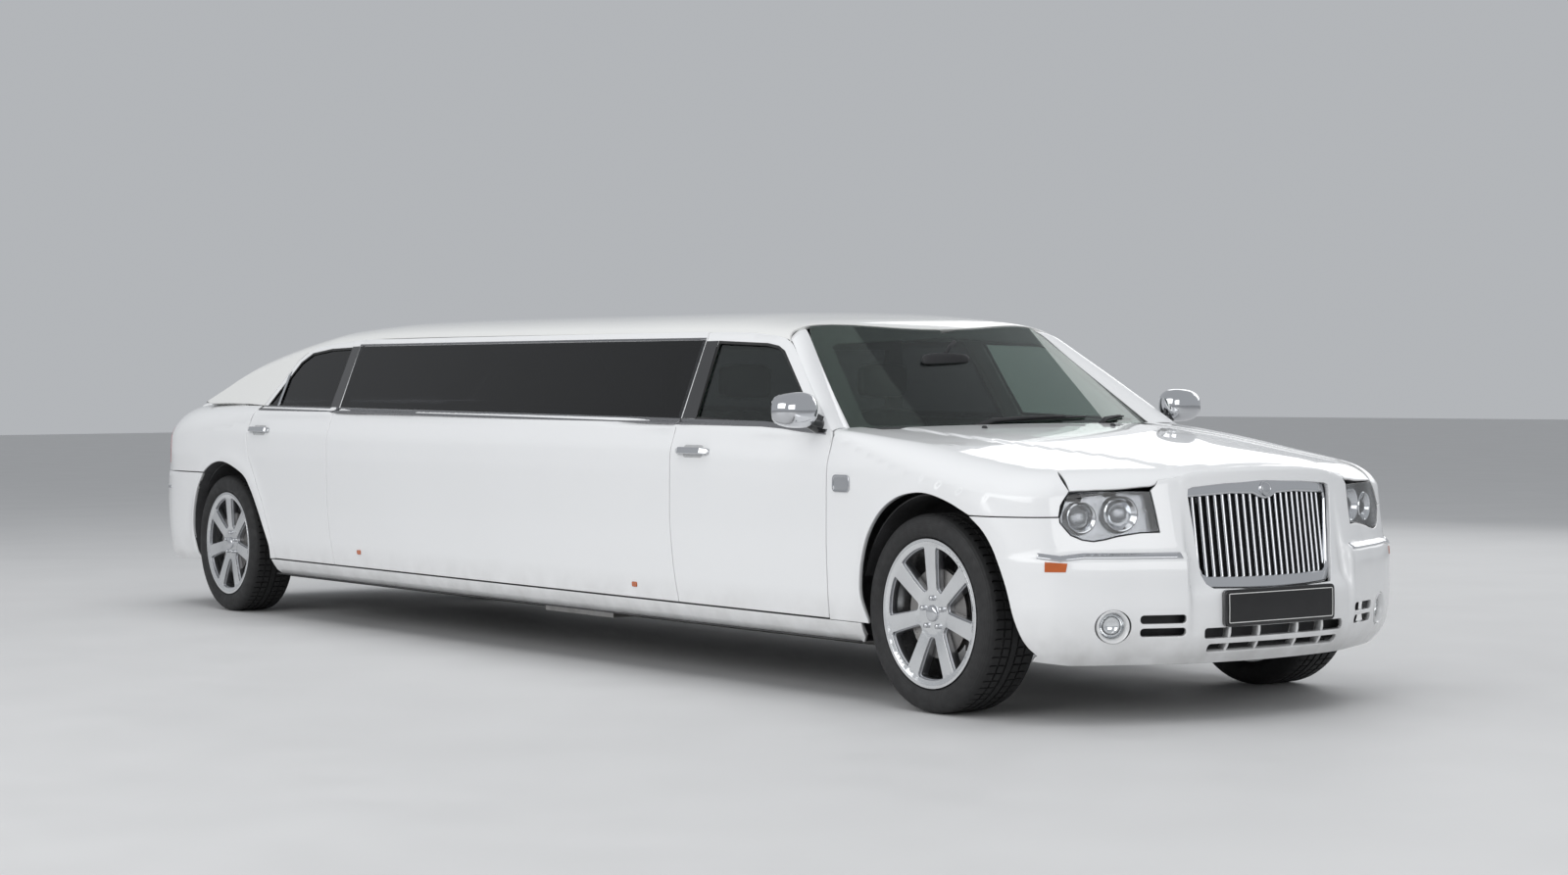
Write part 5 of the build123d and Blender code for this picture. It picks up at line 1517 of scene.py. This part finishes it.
for side, sign in SIDES:
    y = -0.37 * sign
    own_replaces = ["front_seats"] if sign > 0 else []
    back_x = front_axle - 1.80
    seat_pad(f"seat_cushion_{side}", (front_axle - 1.80, y - 0.235, 0.275), (front_axle - 1.30, y + 0.235, 0.515), 4,
             1, leather, replaces=own_replaces)
    seat_pad(f"seat_back_{side}", (back_x - 0.115, y - 0.225, 0.46), (back_x + 0.01, y + 0.225, 1.10), 4, 1, leather,
             tilt=(np.array([back_x - 0.05, y, 0.46]), math.radians(-8)))
    seat_pad(f"seat_headrest_{side}", (back_x - 0.205, y - 0.12, 1.13), (back_x - 0.11, y + 0.12, 1.29), 1, 1, leather)
bench_front = rear_axle + 1.055
seat_pad("bench_cushion", (bench_front - 0.46, -0.63, 0.275), (bench_front, 0.63, 0.512), 7, 1, pale_leather,
         replaces=["rear_bench"])
seat_pad("bench_back", (bench_front - 0.575, -0.63, 0.45), (bench_front - 0.44, 0.63, 1.08), 7, 1, pale_leather,
         tilt=(np.array([bench_front - 0.50, 0.0, 0.46]), math.radians(-3)))
side_start, side_end = rear_axle + 1.245, front_axle - 2.325
seat_pad("side_cushion", (side_start, 0.275, 0.275), (side_end, 0.62, 0.512), 9, 0, pale_leather,
         replaces=["side_bench"])
seat_pad("side_back", (side_start, 0.615, 0.48), (side_end, 0.765, 0.97), 9, 0, pale_leather)

# The hand wheel square to its column, 25 degrees up from level
wheel_centre = np.array([front_axle - 1.215, -0.370, 0.865])
column = math.radians(25)
wheel_axis = np.array([-math.cos(column), 0, math.sin(column)])
wheel_up = unit(np.cross(wheel_axis, np.array([0, 1.0, 0])))
wheel_across = np.cross(wheel_up, wheel_axis)
hoop = [wheel_centre + 0.177 * (wheel_up * math.cos(a) + wheel_across * math.sin(a))
        for a in np.linspace(0, 2 * math.pi, 49)]
spokes = [tube_mesh([wheel_centre + 0.03 * d, wheel_centre + 0.10 * d - 0.004 * wheel_axis, wheel_centre + 0.170 * d],
                    (0.020, 0.014, 0.012))
          for d in (wheel_across, -wheel_across, -wheel_up if wheel_up[2] > 0 else wheel_up)]
hub = tube_mesh([wheel_centre + d * wheel_axis for d in (-0.10, -0.02, 0.012, 0.020)], (0.028, 0.056, 0.054, 0.035),
                24)
hand_wheel = add_mesh("hand_wheel", *joined([tube_mesh(hoop, 0.0145, 12), hub, *spokes]))
hand_wheel.data.set_sharp_from_angle(angle=math.radians(45))
dress(hand_wheel, leather, replaces=["steering_wheel"])


# Finishes of the parts carried over from the frame

node_finish = {
    "floor_pan": carpet, "trunk_well": underbody_coat, "engine_bay": underbody_coat, "cowl": moulded_black,
    "wheel_liners": underbody_coat, "front_subframe": cast_iron, "rear_axle": cast_iron, "engine": cast_iron,
    "propshaft": steel_tube, "exhaust": steel_tube, "fuel_tank": moulded_black, "dashboard": moulded_black,
    "bar_cabinet": bar_wood, "partition": leather, "knuckle_right": cast_iron, "knuckle_left": cast_iron,
}
for node, material in node_finish.items():
    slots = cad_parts[node].data.materials
    slots.clear()
    slots.append(material)


# Door linings, intake ribs, the small bare plaques and the inside mirror

door_linings = {
    "front": [(-0.72, 0.37), (-0.72, 0.99), (-1.60, 1.00), (-1.63, 0.80), (-1.61, 0.50), (-1.60, 0.37)],
    "rear": [(-4.90, 0.37), (-4.91, 1.05), (-5.70, 1.06), (-5.68, 0.85), (-5.57, 0.66), (-5.46, 0.48),
             (-5.41, 0.37)],
}
for label, outline in door_linings.items():
    panel("door_lining_" + label, rounded(outline, 0.03), side_raised(-0.019), leather, label + "_door_{}", step=0.04,
          depth=0.036, edge=0.010)
    middle_x = (outline[0][0] + outline[2][0]) / 2
    rest = rounded(rectangle(middle_x - 0.26, 0.66, middle_x + 0.26, 0.72), 0.025)
    panel("door_armrest_" + label, rest, side_raised(-0.045), leather, label + "_door_{}", depth=0.045, edge=0.012)

for label, y in (("inner", 0.095), ("outer", 0.230)):
    rib = nose(rectangle(y - 0.006, 0.236, y + 0.006, 0.340))
    panel("intake_rib_" + label, rib, raised(body, -0.007), bumper_paint, depth=0.030, edge=0.002)

plaque = flank_outline(rounded(rectangle(-0.553, 0.792, -0.447, 0.858), 0.022, 6))
panel("fender_plaque", plaque, raised(body, 0.0035), satin_chrome, step=0.012, depth=0.006, edge=0.002)
panel("fender_plaque_rim", plaque, raised(body, 0.006), chrome, holes=[grown_loop(plaque, -0.009)], step=0.012,
      depth=0.005, edge=0.002)
boss_at = at_point(grille_face, 0.0, 0.814)
turned("grille_boss", [(0.0, 0.0195), (0.016, 0.0190), (0.020, 0.0175), (0.0215, 0.0185), (0.026, 0.0175),
                       (0.028, 0.014), (0.028, 0.004)], boss_at, (1, 0, GRILLE_LEAN), satin_chrome, count=40)

glance = soft_box((front_axle - 0.912, -0.232, 1.262), (front_axle - 0.884, 0.008, 1.322), 3.5, 14, 30)
stalk = tube_mesh([(front_axle - 0.898, -0.112, 1.318), (front_axle - 0.915, -0.08, 1.345),
                   (front_axle - 0.930, -0.04, 1.368)], 0.008, 10)
dress(add_mesh("inside_mirror", *joined([glance, stalk])), moulded_black)


def arch_return(name, points, depth=0.070):
    """The lip of a wheel arch turned inwards behind its edge."""
    run = np.array(flank_outline(points))
    rows = np.vstack([raised(body, -at)(*run.T) for at in (0.008, 0.03, depth)])
    faces = grid_faces(3, len(run), closed=False)
    for side, sign in SIDES:
        dress(add_mesh(f"{name}_{side}", rows * np.array([1, sign, 1]), faces), underbody_coat)


arch_return("arch_return", spline(arch_rear, 5) + spline(arch_rear_low, 4))


def deck_floor(x, y):
    """The shelf under the rear glass's foot and the lid's front edge."""
    x, y = arrays(x, y)
    return at_car(x, y, crown(x, y) - 0.024 - 0.03 * ease(np.abs(y), 0.60, 0.78))


panel("rear_deck", rounded([(tail - 0.30, -0.70), (tail - 0.30, 0.70), (tail - 0.60, 0.66), (tail - 0.60, -0.66)],
                           0.05), deck_floor, paint, step=0.04, depth=0.004, edge=0.001, mirrored=False)


# Camera, lamps and floor

camera_data = bpy.data.cameras.new("camera")
camera = bpy.data.objects.new("camera", camera_data)
bpy.context.scene.collection.objects.link(camera)
bpy.context.scene.camera = camera
CAMERA_AT = (8.09986, -7.26574, 1.20201)
YAW, PITCH, ROLL = (math.radians(a) for a in (144.3766, 0.87549, -0.34610))
FOCAL_PIXELS = 2895.25
SENSOR = 36
PHOTO_WIDTH, PHOTO_HEIGHT = 1600, 893
CENTRE_PIXEL = (820.5, 435.7)
camera_data.sensor_width = SENSOR
camera_data.lens = FOCAL_PIXELS / PHOTO_WIDTH * SENSOR
camera_data.shift_x = -(CENTRE_PIXEL[0] - PHOTO_WIDTH / 2) / PHOTO_WIDTH
camera_data.shift_y = (CENTRE_PIXEL[1] - PHOTO_HEIGHT / 2) / PHOTO_WIDTH
look = Vector((math.cos(YAW) * math.cos(PITCH), math.sin(YAW) * math.cos(PITCH), -math.sin(PITCH)))
level = Vector((math.sin(YAW), -math.cos(YAW), 0))
upright = level.cross(look)
right = level * math.cos(ROLL) + upright * math.sin(ROLL)
up = upright * math.cos(ROLL) - level * math.sin(ROLL)
camera.matrix_world = Matrix(((right.x, up.x, -look.x, CAMERA_AT[0] + front_axle),
                              (right.y, up.y, -look.y, CAMERA_AT[1]),
                              (right.z, up.z, -look.z, CAMERA_AT[2]),
                              (0, 0, 0, 1)))
camera_data.clip_start, camera_data.clip_end = 0.05, 300

bpy.context.scene.view_settings.view_transform = "Standard"


def lamp(name, at, target, size, power):
    """A soft rectangular lamp that faces a target."""
    data = bpy.data.lights.new(name, "AREA")
    data.shape = "RECTANGLE"
    (data.size, data.size_y), data.energy = size, power
    holder = bpy.data.objects.new(name, data)
    bpy.context.scene.collection.objects.link(holder)
    holder.location = at
    holder.rotation_mode = "QUATERNION"
    holder.rotation_quaternion = (Vector(target) - Vector(at)).to_track_quat("-Z", "Y")
    return holder


lamp("overhead", (0, -1.0, 8.5), (0, 0, 0), (17, 10), 450).visible_glossy = False
lamp("key", (2, -10, 4.6), (0, 0, 0.7), (14, 5), 430)
lamp("front_fill", (12, -2, 3.0), (3, 0, 0.6), (6, 3), 120)
lamp("far_fill", (-2, 10, 5), (0, 0, 0.8), (12, 5), 240)

world = bpy.data.worlds.new("world")
bpy.context.scene.world = world
world.use_nodes = True
sky = world.node_tree.nodes["Background"]
sky.inputs["Color"].default_value = (0.90, 0.93, 0.97, 1)
sky.inputs["Strength"].default_value = 0.50

floor_shader = Shader("floor_pale")
floor_shader.colour((0.62, 0.62, 0.62), 0.02, 1.5)
floor_shader.roughness(0.55, 0.7, 3)
floor_piece = add_mesh("floor", [(-60, -60, 0), (60, -60, 0), (60, 60, 0), (-60, 60, 0)], [(0, 1, 2, 3)])
floor_piece.data.materials.append(floor_shader.material)
